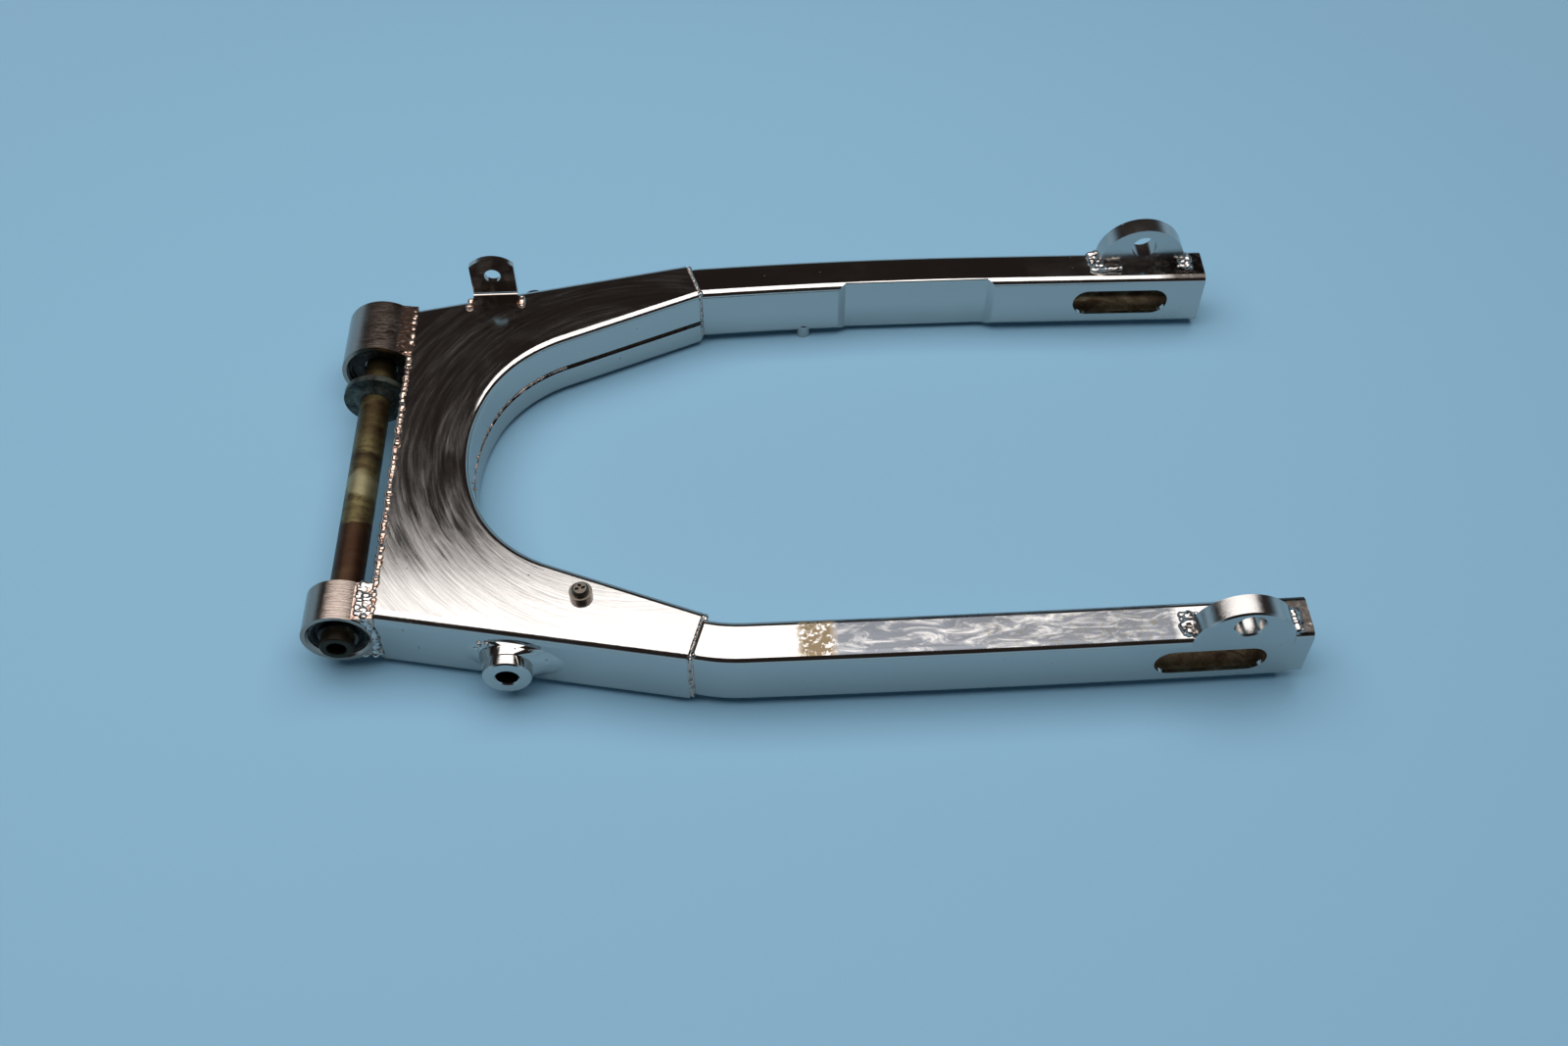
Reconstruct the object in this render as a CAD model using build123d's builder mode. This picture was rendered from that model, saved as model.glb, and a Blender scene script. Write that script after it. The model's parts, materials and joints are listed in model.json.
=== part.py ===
from build123d import *
import math
import os

os.makedirs("parts", exist_ok=True)

# Motorcycle swingarm: a pressed and welded yoke, two rectangular arm tubes, and a pivot tube
# that turns in a rubber bush at the left and in a pair of taper bearings at the right.
# Frame: origin on the pivot axis in the wheel's centre plane, +X to the rear, +Y to the
# rider's right, +Z up. All sizes are in millimetres and all angles in degrees.

# Yoke, in plan
YOKE_FRONT_X = 21.2
YOKE_FRONT_HALF = 117.4
YOKE_OUTER_ANGLE = 11.3
YOKE_APEX_X = 62.8
YOKE_APEX_ANGLE = 22.0
YOKE_SHOULDER_RADIUS = 78.0
YOKE_INNER_ANGLE = 23.2
YOKE_WALL = 2.2
YOKE_OUTER_FILLET = 6.0
YOKE_INNER_FILLET = 4.5

# Sockets of the yoke, which take the arm tubes
MOUTH_X = 190.9
MOUTH_ANGLE = 16.6
SOCKET_CLEARANCE = 0.2
SOCKET_DEPTH = 12.0

# Recessed weld seam round the inner wall of the yoke
SEAM_Z = -7.0
SEAM_HEIGHT = 3.6
SEAM_RECESS = 1.3
SEAM_FLUSH = 0.15
SEAM_BACKING = 1.0
SEAM_FILLED_END = 9.0

# Front plate and the weld beads along its edges
PLATE_THICKNESS = 2.0
PLATE_STEP = 1.2
FRONT_BEAD_RADIUS = 2.4
FRONT_BEAD_BACK = 0.3
FRONT_BEAD_SINK = 0.9

# Arm tubes
ARM_WIDTH = 27.2
ARM_HEIGHT = 38.0
ARM_WALL = 2.5
ARM_CORNER = 5.0
ARM_Z = -4.4
ARM_END_X = 515.0
LEFT_BEND_RADIUS = 90.0
LEFT_TOE_IN = 1.4
RIGHT_BEND_RADIUS = 25.0
RIGHT_BEND_EXIT = 3.0
RIGHT_BOW_RADIUS = 2570.0
RIGHT_TAIL_RADIUS = 2000.0
RIGHT_TOE_IN = 1.0

# Pressed recess on the inner side of the right arm
RECESS_START_X = 283.0
RECESS_END_X = 382.0
RECESS_DEPTH = 3.5
RECESS_RAMP = 4.6
RECESS_EDGE = 1.4

# Behind the recess the tube is divided, so that collision pieces follow its open end
TUBE_DIVISION_INSET = 131.5

# Step at the lower outer corner of the left arm's end
STEP_LENGTH = 9.0
STEP_HEIGHT = 5.7
STEP_WIDTH = 13.0

# Axle slots
SLOT_INSET = 52.0
SLOT_LENGTH = 60.2
SLOT_HEIGHT = 19.4

# Shock absorber lugs and their welds
LUG_RADIUS = 27.2
LUG_THICKNESS = 12.5
LUG_HOLE_RADIUS = 7.7
LUG_EDGE = 1.0
LEFT_LUG_INSET = 37.5
LEFT_LUG_Z = 11.0
LEFT_LUG_RISE = 15.8
LEFT_LUG_OFFSET = 1.85
RIGHT_LUG_INSET = 39.5
RIGHT_LUG_Z = 15.0
RIGHT_LUG_RISE = 13.8
RIGHT_LUG_OFFSET = 0.4
LUG_WELD_REACH = 5.2
LUG_WELD_RISE = 4.8
LUG_WELD_SINK = 0.4
LUG_WELD_LENGTH = 14.5
LUG_WELD_EDGE = 1.5
LUG_WELD_OVERLAP = 4.5
LUG_WELD_SPREAD = 2.25
LEFT_WELD_INSET = 4.0
RIGHT_WELD_INSET = 5.0

# Pivot tube and its collar
SHAFT_RADIUS = 8.95
SHAFT_BORE = 5.4
SHAFT_LEFT_STAND = 6.3
SHAFT_RIGHT_INSET = 0.7
SHAFT_CHAMFER = 0.5
PRESS_GAP = 0.03
COLLAR_RADIUS = 18.8
COLLAR_THICKNESS = 4.0
COLLAR_STANDOFF = 19.0
COLLAR_HUB_RADIUS = 13.0
COLLAR_HUB_LENGTH = 2.6

# Pivot housings
LEFT_HOUSING_RADIUS = 19.7
LEFT_HOUSING_BORE = 16.0
LEFT_HOUSING_OVERHANG = 1.1
LEFT_HOUSING_LENGTH = 25.0
RIGHT_HOUSING_RADIUS = 22.8
RIGHT_HOUSING_BORE = 19.0
RIGHT_HOUSING_INSET = 0.1
RIGHT_HOUSING_LENGTH = 39.8
HOUSING_CHAMFER = 1.3

# Left bush
BUSH_SHELL_WALL = 1.4
BUSH_INSET = 2.4
SLEEVE_WALL = 1.6
SLEEVE_INSET = 1.2
RUNNING_CLEARANCE = 0.05
RUBBER_DISH = 2.2
RUBBER_RIB = 1.0
RUBBER_INSET = 0.5

# Right taper bearings
BEARING_WIDTH = 9.4
CUP_THIN = 1.7
CUP_THICK = 3.3
CUP_SPACER_WALL = 2.4
CONE_WALL = 3.0
CONE_RIB_WIDTH = 0.9
CONE_RIB_HEIGHT = 1.2
CONE_SPACER_WALL = 2.4
RACE_CLEARANCE = 0.3
ROLLER_COUNT = 12
ROLLER_SIDES = 10
CONE_AXIAL_GAP = 0.4
LOCK_RING_DEPTH = 2.6
LOCK_RING_WIDTH = 3.0
LOCK_RING_WALL = 3.2
SHIELD_THICKNESS = 1.2
SHIELD_DEPTH = 4.4
SHIELD_RIM = 1.5
SHIELD_CLEARANCE = 1.0

# Brake anchor boss with its flared saddle
BOSS_X = 91.0
BOSS_Z = -4.4
BOSS_RADIUS = 13.1
BOSS_STAND = 13.05
BOSS_HOLE_RADIUS = 5.9
BOSS_HOLE_DEPTH = 11.0
BOSS_CHAMFER = 0.8
SADDLE_SHIFT = 3.0
SADDLE_HALF_LENGTH = 27.0
SADDLE_HALF_HEIGHT = 14.4
SADDLE_WAIST_LENGTH = 19.0
SADDLE_WAIST_HEIGHT = 14.0
SADDLE_WAIST_RISE = 1.5
SADDLE_HEIGHT = 6.0
SADDLE_LAND = 0.5

# Upright bracket on the right edge of the yoke
BRACKET_X = 69.8
BRACKET_WIDTH = 27.0
BRACKET_THICKNESS = 3.6
BRACKET_FOOT_LENGTH = 9.6
BRACKET_RISE = 31.2
BRACKET_CROWN = 6.1
BRACKET_BEND = 1.5
BRACKET_HOLE_RADIUS = 5.0
BRACKET_HOLE_RISE = 17.9
FRONT_BRACKET_WELD_REACH = 4.2
FRONT_BRACKET_WELD_RISE = 3.1
REAR_BRACKET_WELD_REACH = 5.2
REAR_BRACKET_WELD_RISE = 3.6
BRACKET_WELD_EDGE = 1.0

# Round boss on the left part of the yoke's top, with a cross-head screw
TOP_BOSS_X = 130.7
TOP_BOSS_INSET = 32.0
TOP_BOSS_RADIUS = 6.2
TOP_BOSS_HEIGHT = 3.4
SCREW_HEAD_RADIUS = 4.6
SCREW_HEAD_HEIGHT = 2.6
SCREW_HEAD_EDGE = 1.2
SCREW_SHANK_RADIUS = 2.4
SCREW_SHANK_LENGTH = 3.0
SCREW_CLEARANCE = 0.1
CROSS_LENGTH = 5.2
CROSS_WIDTH = 1.1
CROSS_DEPTH = 1.3

# Low boss on the right outer wall of the yoke, and the stud under the right arm
SIDE_BOSS_X = 91.5
SIDE_BOSS_Z = 6.0
SIDE_BOSS_RADIUS = 7.0
SIDE_BOSS_HEIGHT = 2.0
STUD_X = 261.0
STUD_INSET = 4.0
STUD_RADIUS = 4.6
STUD_LENGTH = 4.0

# Pivot weld build-up
PIVOT_WELD_START_X = 9.8
PIVOT_WELD_TOP = 17.0
PIVOT_WELD_DEPTH = 7.0
PIVOT_WELD_END = 0.6
PIVOT_FILLET_ANGLE = 32.0
PIVOT_FILLET_SINK = 0.5
PIVOT_FILLET_LAND = 3.0
PIVOT_FILLET_RISE = 0.75
PIVOT_FILLET_REACH = 1.3

# Joint beads round the sockets
JOINT_BEAD_LENGTH = 2.6
JOINT_BEAD_DROP = 0.3
JOINT_BEAD_SLOPE = 32.0

# Sizes that follow from the ones above
ARM_TOP = ARM_Z + ARM_HEIGHT / 2
YOKE_HALF_HEIGHT = ARM_HEIGHT / 2 + SOCKET_CLEARANCE / 2 + YOKE_WALL
YOKE_TOP = ARM_Z + YOKE_HALF_HEIGHT
YOKE_BOTTOM = ARM_Z - YOKE_HALF_HEIGHT
PLATE_FRONT_X = YOKE_FRONT_X - PLATE_THICKNESS
SEAM_BOTTOM = SEAM_Z - SEAM_HEIGHT / 2
LEFT_HOUSING_Y = -YOKE_FRONT_HALF - LEFT_HOUSING_OVERHANG
LEFT_HOUSING_INNER_Y = LEFT_HOUSING_Y + LEFT_HOUSING_LENGTH
RIGHT_HOUSING_OUTER_Y = YOKE_FRONT_HALF - RIGHT_HOUSING_INSET
RIGHT_HOUSING_Y = RIGHT_HOUSING_OUTER_Y - RIGHT_HOUSING_LENGTH
SHAFT_LEFT_Y = LEFT_HOUSING_Y - SHAFT_LEFT_STAND
SHAFT_RIGHT_Y = RIGHT_HOUSING_OUTER_Y - SHAFT_RIGHT_INSET
COLLAR_Y = RIGHT_HOUSING_Y - COLLAR_STANDOFF - COLLAR_THICKNESS
SLOT_X = ARM_END_X - SLOT_INSET
LEFT_LUG_X = ARM_END_X - LEFT_LUG_INSET
RIGHT_LUG_X = ARM_END_X - RIGHT_LUG_INSET
SOCKET_HALF = (ARM_WIDTH + SOCKET_CLEARANCE) / 2

# How far a cutter runs past the face that it opens
PAST = 1.0


def heading(angle):
    """Unit vector in plan that points rearward and outward by the angle given."""
    return Vector(math.cos(math.radians(angle)), math.sin(math.radians(angle)), 0)


def meet(point_a, dir_a, point_b, dir_b):
    """Crossing point of two lines in plan."""
    cross = dir_a.X * dir_b.Y - dir_a.Y * dir_b.X
    gap = point_b - point_a
    along = (gap.X * dir_b.Y - gap.Y * dir_b.X) / cross
    return point_a + dir_a * along


def outer_line_point(depth):
    """A point on the yoke's outer wall line, that deep inside its surface."""
    corner = Vector(YOKE_FRONT_X, YOKE_FRONT_HALF, 0)
    return corner - heading(YOKE_OUTER_ANGLE + 90) * depth


def outer_wall(along, depth):
    """Sideways place of the yoke's outer wall at a distance behind the pivot, at a depth inside it."""
    start = outer_line_point(depth)
    return start.Y + math.tan(math.radians(YOKE_OUTER_ANGLE)) * (along - start.X)


# The socket's mouth: the arm tube lies against the inside of the outer wall there
MOUTH_LINE = heading(MOUTH_ANGLE + 90)
SOCKET_OUTER_X = MOUTH_X + MOUTH_LINE.X * SOCKET_HALF
MOUTH_CENTRE = Vector(MOUTH_X, outer_wall(SOCKET_OUTER_X, YOKE_WALL) - MOUTH_LINE.Y * SOCKET_HALF, 0)

# The inner wall: an arc round the apex that runs into the arc of the shoulder, whose radius is given,
# and from there a straight wall to the inner side of the socket. The apex takes the radius that fits.
INNER_NORMAL = heading(YOKE_INNER_ANGLE + 90)
SHOULDER_WAY = heading(180 - YOKE_APEX_ANGLE)
SOCKET_INNER = MOUTH_CENTRE - MOUTH_LINE * SOCKET_HALF - INNER_NORMAL * YOKE_WALL
APEX_SHARE = INNER_NORMAL.dot(SHOULDER_WAY)
YOKE_APEX_RADIUS = (
    INNER_NORMAL.dot(SOCKET_INNER) - INNER_NORMAL.X * YOKE_APEX_X - (1 - APEX_SHARE) * YOKE_SHOULDER_RADIUS
) / (INNER_NORMAL.X + APEX_SHARE)
APEX_CENTRE = Vector(YOKE_APEX_X + YOKE_APEX_RADIUS, 0, 0)
SHOULDER_CENTRE = APEX_CENTRE + SHOULDER_WAY * (YOKE_APEX_RADIUS - YOKE_SHOULDER_RADIUS)


def inner_line_point(depth):
    """The end of the shoulder arc, that deep inside the surface of the inner wall."""
    return SHOULDER_CENTRE + INNER_NORMAL * (YOKE_SHOULDER_RADIUS + depth)


def mouth_corner(line_point, line_angle, reach):
    """Where a wall line meets the socket's mouth, moved rearward by the reach."""
    base = MOUTH_CENTRE + heading(MOUTH_ANGLE) * reach
    return meet(line_point, heading(line_angle), base, MOUTH_LINE)


def inner_curve(depth, reach):
    """Edges of the inner wall's half plan, from the apex to the mouth. Returns the mouth corner."""
    sweep_angle = 90 - YOKE_INNER_ANGLE - YOKE_APEX_ANGLE
    CenterArc(APEX_CENTRE, YOKE_APEX_RADIUS + depth, 180, -YOKE_APEX_ANGLE)
    CenterArc(SHOULDER_CENTRE, YOKE_SHOULDER_RADIUS + depth, 180 - YOKE_APEX_ANGLE, -sweep_angle)
    corner = mouth_corner(inner_line_point(depth), YOKE_INNER_ANGLE, reach)
    Line(inner_line_point(depth), corner)
    return corner


def yoke_half(depth, front_x, reach):
    """Closed half outline of the yoke in plan, that deep inside its walls."""
    corner = inner_curve(depth, reach)
    outer = mouth_corner(outer_line_point(depth), YOKE_OUTER_ANGLE, reach)
    front = meet(outer_line_point(depth), heading(YOKE_OUTER_ANGLE), Vector(front_x, 0, 0), Vector(0, 1, 0))
    apex = Vector(YOKE_APEX_X - depth, 0, 0)
    Polyline(corner, outer, front, (front_x, 0), apex)


def band_half(depth_a, depth_b, reach):
    """Closed half outline of a band that follows the inner wall between two depths."""
    corner_a = inner_curve(depth_a, reach)
    corner_b = inner_curve(depth_b, reach)
    Line(corner_a, corner_b)
    Line((YOKE_APEX_X - depth_a, 0), (YOKE_APEX_X - depth_b, 0))


def at_mouth(edge):
    """True for an edge at or beyond one of the two mouth planes."""
    centre = edge.center()
    side = Vector(centre.X, abs(centre.Y), 0) - MOUTH_CENTRE
    return side.dot(heading(MOUTH_ANGLE)) > -PAST / 2


def on_inner_wall(edge):
    """True for an edge of the yoke's outline that belongs to its inner wall."""
    centre = edge.center()
    half = abs(centre.Y)
    return centre.X > YOKE_FRONT_X + PAST and half < outer_wall(centre.X, 0) - SOCKET_HALF


def on_outer_wall(edge):
    """True for an edge of the yoke's outline that belongs to an outer wall."""
    return edge.center().X > YOKE_FRONT_X + PAST and not on_inner_wall(edge)


# The yoke as one solid block, before it is hollowed and parted
with BuildPart() as yoke_block:
    with BuildSketch(Plane((0, 0, YOKE_BOTTOM))):
        with BuildLine():
            yoke_half(0, YOKE_FRONT_X, 0)
        make_face()
        mirror(about=Plane.XZ)
    extrude(amount=2 * YOKE_HALF_HEIGHT)
    rims = (yoke_block.edges().group_by(Axis.Z)[0] + yoke_block.edges().group_by(Axis.Z)[-1]).filter_by(
        lambda edge: not at_mouth(edge)
    )
    fillet(rims.filter_by(on_outer_wall), radius=YOKE_OUTER_FILLET)
    rims = (yoke_block.edges().group_by(Axis.Z)[0] + yoke_block.edges().group_by(Axis.Z)[-1]).filter_by(
        lambda edge: not at_mouth(edge)
    )
    fillet(rims.filter_by(on_inner_wall), radius=YOKE_INNER_FILLET)

# The space inside the yoke, open at the front and at both sockets
with BuildPart() as yoke_space:
    with BuildSketch(Plane((0, 0, YOKE_BOTTOM + YOKE_WALL))):
        with BuildLine():
            yoke_half(YOKE_WALL, YOKE_FRONT_X - PAST, PAST)
        make_face()
        mirror(about=Plane.XZ)
    extrude(amount=2 * (YOKE_HALF_HEIGHT - YOKE_WALL))
    rims = (yoke_space.edges().group_by(Axis.Z)[0] + yoke_space.edges().group_by(Axis.Z)[-1]).filter_by(
        lambda edge: not at_mouth(edge)
    )
    fillet(rims.filter_by(on_outer_wall), radius=YOKE_OUTER_FILLET - YOKE_WALL)
    rims = (yoke_space.edges().group_by(Axis.Z)[0] + yoke_space.edges().group_by(Axis.Z)[-1]).filter_by(
        lambda edge: not at_mouth(edge)
    )
    fillet(rims.filter_by(on_inner_wall), radius=YOKE_INNER_FILLET - YOKE_WALL)

# The band of the inner wall that the weld seam takes, cut from both shells
with BuildPart() as seam_gap:
    with BuildSketch(Plane((0, 0, SEAM_BOTTOM))):
        with BuildLine():
            band_half(-PAST, YOKE_WALL + PAST, PAST)
        make_face()
        mirror(about=Plane.XZ)
    extrude(amount=SEAM_HEIGHT)

# Pivot housings as plain cylinders, to saddle the yoke round them
HOUSING_PLANE_LEFT = Plane((0, LEFT_HOUSING_Y, 0), x_dir=(1, 0, 0), z_dir=(0, 1, 0))
HOUSING_PLANE_RIGHT = Plane((0, RIGHT_HOUSING_Y, 0), x_dir=(1, 0, 0), z_dir=(0, 1, 0))
with BuildPart() as left_barrel:
    with BuildSketch(HOUSING_PLANE_LEFT.offset(-PAST)):
        Circle(LEFT_HOUSING_RADIUS)
    extrude(amount=LEFT_HOUSING_LENGTH + PAST)
with BuildPart() as right_barrel:
    with BuildSketch(HOUSING_PLANE_RIGHT):
        Circle(RIGHT_HOUSING_RADIUS)
    extrude(amount=RIGHT_HOUSING_LENGTH + PAST)


def mirrored(vector):
    """The same vector on the other side of the wheel's centre plane."""
    return Vector(vector.X, -vector.Y, vector.Z)


def turn(start, angle_in, angle_out, radius):
    """End point of an arc in plan that starts at one heading and ends at another."""
    side_in = heading(angle_in - 90)
    side_out = heading(angle_out - 90)
    return start + (side_in - side_out) * radius


def bow(along, start, radius):
    """Sideways place of an arc in plan that leaves its start straight rearward."""
    return start.Y - radius + math.sqrt(radius**2 - (along - start.X) ** 2)


# Points of the left arm's centre line, drawn on the +Y side and mirrored where they are used
ARM_START = MOUTH_CENTRE - heading(MOUTH_ANGLE) * SOCKET_DEPTH
LEFT_CROWN = turn(MOUTH_CENTRE, MOUTH_ANGLE, 0, LEFT_BEND_RADIUS)
LEFT_BOW_RADIUS = (ARM_END_X - LEFT_CROWN.X) / math.sin(math.radians(LEFT_TOE_IN))
LEFT_END = turn(LEFT_CROWN, 0, -LEFT_TOE_IN, LEFT_BOW_RADIUS)

# Points of the right arm's centre line
RIGHT_ELBOW = turn(MOUTH_CENTRE, MOUTH_ANGLE, RIGHT_BEND_EXIT, RIGHT_BEND_RADIUS)
RIGHT_CROWN = turn(RIGHT_ELBOW, RIGHT_BEND_EXIT, 0, RIGHT_BOW_RADIUS)
RIGHT_TAIL = turn(RIGHT_CROWN, 0, -RIGHT_TOE_IN, RIGHT_TAIL_RADIUS)
RIGHT_END = RIGHT_TAIL + heading(-RIGHT_TOE_IN) * ((ARM_END_X - RIGHT_TAIL.X) / heading(RIGHT_TOE_IN).X)


def left_centre(along):
    """Y of the left arm's centre line behind its crown."""
    return -bow(along, LEFT_CROWN, LEFT_BOW_RADIUS)


def right_centre(along):
    """Y of the right arm's centre line behind its elbow."""
    if along < RIGHT_CROWN.X:
        return bow(along, RIGHT_CROWN, RIGHT_BOW_RADIUS)
    if along < RIGHT_TAIL.X:
        return bow(along, RIGHT_CROWN, RIGHT_TAIL_RADIUS)
    return RIGHT_TAIL.Y - math.tan(math.radians(RIGHT_TOE_IN)) * (along - RIGHT_TAIL.X)


def left_line():
    """Edges of the left arm's centre line."""
    Line(mirrored(ARM_START), mirrored(MOUTH_CENTRE))
    TangentArc(mirrored(MOUTH_CENTRE), mirrored(LEFT_CROWN), tangent=mirrored(heading(MOUTH_ANGLE)))
    TangentArc(mirrored(LEFT_CROWN), mirrored(LEFT_END), tangent=heading(0))


def right_line():
    """Edges of the right arm's centre line."""
    Line(ARM_START, MOUTH_CENTRE)
    TangentArc(MOUTH_CENTRE, RIGHT_ELBOW, tangent=heading(MOUTH_ANGLE))
    TangentArc(RIGHT_ELBOW, RIGHT_CROWN, tangent=heading(RIGHT_BEND_EXIT))
    TangentArc(RIGHT_CROWN, RIGHT_TAIL, tangent=heading(0))
    Line(RIGHT_TAIL, RIGHT_END)


def section_plane(point, direction):
    """Plane across a tube at a point of its centre line, with its local X upward."""
    return Plane((point.X, point.Y, ARM_Z), x_dir=(0, 0, 1), z_dir=direction)


LEFT_SECTION = section_plane(mirrored(ARM_START), mirrored(heading(MOUTH_ANGLE)))
RIGHT_SECTION = section_plane(ARM_START, heading(MOUTH_ANGLE))

# Solid forms of the arms and of the spaces inside them
with BuildPart() as left_arm_form:
    with BuildLine(Plane((0, 0, ARM_Z))) as left_arm_path:
        left_line()
    with BuildSketch(LEFT_SECTION):
        RectangleRounded(ARM_HEIGHT, ARM_WIDTH, ARM_CORNER)
    sweep(path=left_arm_path.line)
with BuildPart() as left_arm_space:
    with BuildLine(Plane((0, 0, ARM_Z))) as left_space_path:
        left_line()
    with BuildSketch(LEFT_SECTION):
        RectangleRounded(ARM_HEIGHT - 2 * ARM_WALL, ARM_WIDTH - 2 * ARM_WALL, ARM_CORNER - ARM_WALL)
    sweep(path=left_space_path.line)

# Inner faces of the right arm at both ends of its recess
RECESS_START_FACE = right_centre(RECESS_START_X) - ARM_WIDTH / 2
RECESS_END_FACE = right_centre(RECESS_END_X) - ARM_WIDTH / 2
RECESS_ANGLE = math.degrees(math.atan2(RECESS_DEPTH, RECESS_RAMP))
RECESS_GROW = ARM_WALL * math.tan(math.radians(RECESS_ANGLE / 2))
FLOOR_START = Vector(RECESS_START_X + RECESS_RAMP, RECESS_START_FACE + RECESS_DEPTH)
FLOOR_END = Vector(RECESS_END_X - RECESS_RAMP, RECESS_END_FACE + RECESS_DEPTH)
EDGE_PLANE = Plane((FLOOR_START.X, FLOOR_START.Y, ARM_Z), x_dir=(0, 1, 0), z_dir=FLOOR_END - FLOOR_START)


def recess_outline(depth, grow):
    """Plan of the recess: a flat floor between two ramps, open towards the wheel."""
    floor_start = Vector(RECESS_START_X + RECESS_RAMP - grow, RECESS_START_FACE + depth)
    floor_end = Vector(RECESS_END_X - RECESS_RAMP + grow, RECESS_END_FACE + depth)
    reach = (depth + PAST) / math.tan(math.radians(RECESS_ANGLE))
    lip_end = floor_end + Vector(reach, -depth - PAST)
    lip_start = floor_start + Vector(-reach, -depth - PAST)
    Polyline(floor_start, floor_end, lip_end, lip_start, close=True)


with BuildPart() as right_arm_form:
    with BuildLine(Plane((0, 0, ARM_Z))) as right_arm_path:
        right_line()
    with BuildSketch(RIGHT_SECTION):
        RectangleRounded(ARM_HEIGHT, ARM_WIDTH, ARM_CORNER)
    sweep(path=right_arm_path.line)
    with BuildSketch(Plane((0, 0, ARM_Z - ARM_HEIGHT / 2))):
        with BuildLine():
            recess_outline(RECESS_DEPTH, 0)
        make_face()
    extrude(amount=ARM_HEIGHT, mode=Mode.SUBTRACT)
    with BuildSketch(EDGE_PLANE):
        with Locations((RECESS_EDGE / 2, ARM_HEIGHT / 2 - RECESS_EDGE / 2)):
            Rectangle(RECESS_EDGE, RECESS_EDGE)
        with Locations((RECESS_EDGE, ARM_HEIGHT / 2 - RECESS_EDGE)):
            Circle(RECESS_EDGE, mode=Mode.SUBTRACT)
        mirror(about=Plane.XZ)
    extrude(amount=(FLOOR_END - FLOOR_START).length, mode=Mode.SUBTRACT)
with BuildPart() as right_arm_space:
    with BuildLine(Plane((0, 0, ARM_Z))) as right_space_path:
        right_line()
    with BuildSketch(RIGHT_SECTION):
        RectangleRounded(ARM_HEIGHT - 2 * ARM_WALL, ARM_WIDTH - 2 * ARM_WALL, ARM_CORNER - ARM_WALL)
    sweep(path=right_space_path.line)
    with BuildSketch(Plane((0, 0, ARM_Z - ARM_HEIGHT / 2))):
        with BuildLine():
            recess_outline(RECESS_DEPTH + ARM_WALL, RECESS_GROW)
        make_face()
    extrude(amount=ARM_HEIGHT, mode=Mode.SUBTRACT)

# Axle slots, through both walls of each arm
with BuildPart() as slot_cutter:
    with BuildSketch(Plane((SLOT_X, 0, ARM_Z), x_dir=(1, 0, 0), z_dir=(0, -1, 0))):
        SlotOverall(SLOT_LENGTH, SLOT_HEIGHT)
    extrude(amount=2 * MOUTH_CENTRE.Y, both=True)

# Left arm tube, with a step at the lower outer corner of its end
STEP_PLANE = Plane(
    (ARM_END_X - STEP_LENGTH, left_centre(ARM_END_X), ARM_Z), x_dir=(0, -1, 0), z_dir=(1, 0, 0)
)
with BuildPart() as left_arm_tube:
    add(left_arm_form.part)
    add(left_arm_space.part, mode=Mode.SUBTRACT)
    add(slot_cutter.part, mode=Mode.SUBTRACT)
    with BuildSketch(STEP_PLANE):
        with Locations((ARM_WIDTH / 2, -ARM_HEIGHT / 2)):
            Rectangle(2 * STEP_WIDTH, 2 * STEP_HEIGHT)
    extrude(amount=STEP_LENGTH + PAST, mode=Mode.SUBTRACT)
left_arm_tube.part.label = "left_arm_tube"
export_step(left_arm_tube.part, "parts/left_arm_tube.step")

# Right arm tube, with the pressed recess that clears the brake
with BuildPart() as right_arm_tube:
    add(right_arm_form.part)
    add(right_arm_space.part, mode=Mode.SUBTRACT)
    add(slot_cutter.part, mode=Mode.SUBTRACT)
    split(bisect_by=Plane((ARM_END_X - TUBE_DIVISION_INSET, 0, 0), z_dir=(1, 0, 0)), keep=Keep.BOTH)
right_arm_tube.part.label = "right_arm_tube"
export_step(right_arm_tube.part, "parts/right_arm_tube.step")

# Blind hole for the brake anchor's bolt
BOSS_FACE_Y = -outer_wall(BOSS_X, 0) - BOSS_STAND
BOSS_PLANE = Plane((BOSS_X, BOSS_FACE_Y, BOSS_Z), x_dir=(1, 0, 0), z_dir=(0, 1, 0))
BOSS_REACH = -BOSS_FACE_Y - YOKE_FRONT_HALF
with BuildPart() as anchor_drill:
    with BuildSketch(BOSS_PLANE.offset(-PAST)):
        Circle(BOSS_HOLE_RADIUS)
    extrude(amount=BOSS_HOLE_DEPTH + PAST)

# Upper half of the yoke
with BuildPart() as yoke_upper_shell:
    add(yoke_block.part)
    add(yoke_space.part, mode=Mode.SUBTRACT)
    split(bisect_by=Plane((0, 0, SEAM_Z)), keep=Keep.TOP)
    add(seam_gap.part, mode=Mode.SUBTRACT)
    add(left_barrel.part, mode=Mode.SUBTRACT)
    add(right_barrel.part, mode=Mode.SUBTRACT)
yoke_upper_shell.part.label = "yoke_upper_shell"
export_step(yoke_upper_shell.part, "parts/yoke_upper_shell.step")

# Lower half of the yoke
with BuildPart() as yoke_lower_shell:
    add(yoke_block.part)
    add(yoke_space.part, mode=Mode.SUBTRACT)
    split(bisect_by=Plane((0, 0, SEAM_Z)), keep=Keep.BOTTOM)
    add(seam_gap.part, mode=Mode.SUBTRACT)
    add(left_barrel.part, mode=Mode.SUBTRACT)
    add(right_barrel.part, mode=Mode.SUBTRACT)
yoke_lower_shell.part.label = "yoke_lower_shell"
export_step(yoke_lower_shell.part, "parts/yoke_lower_shell.step")

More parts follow.
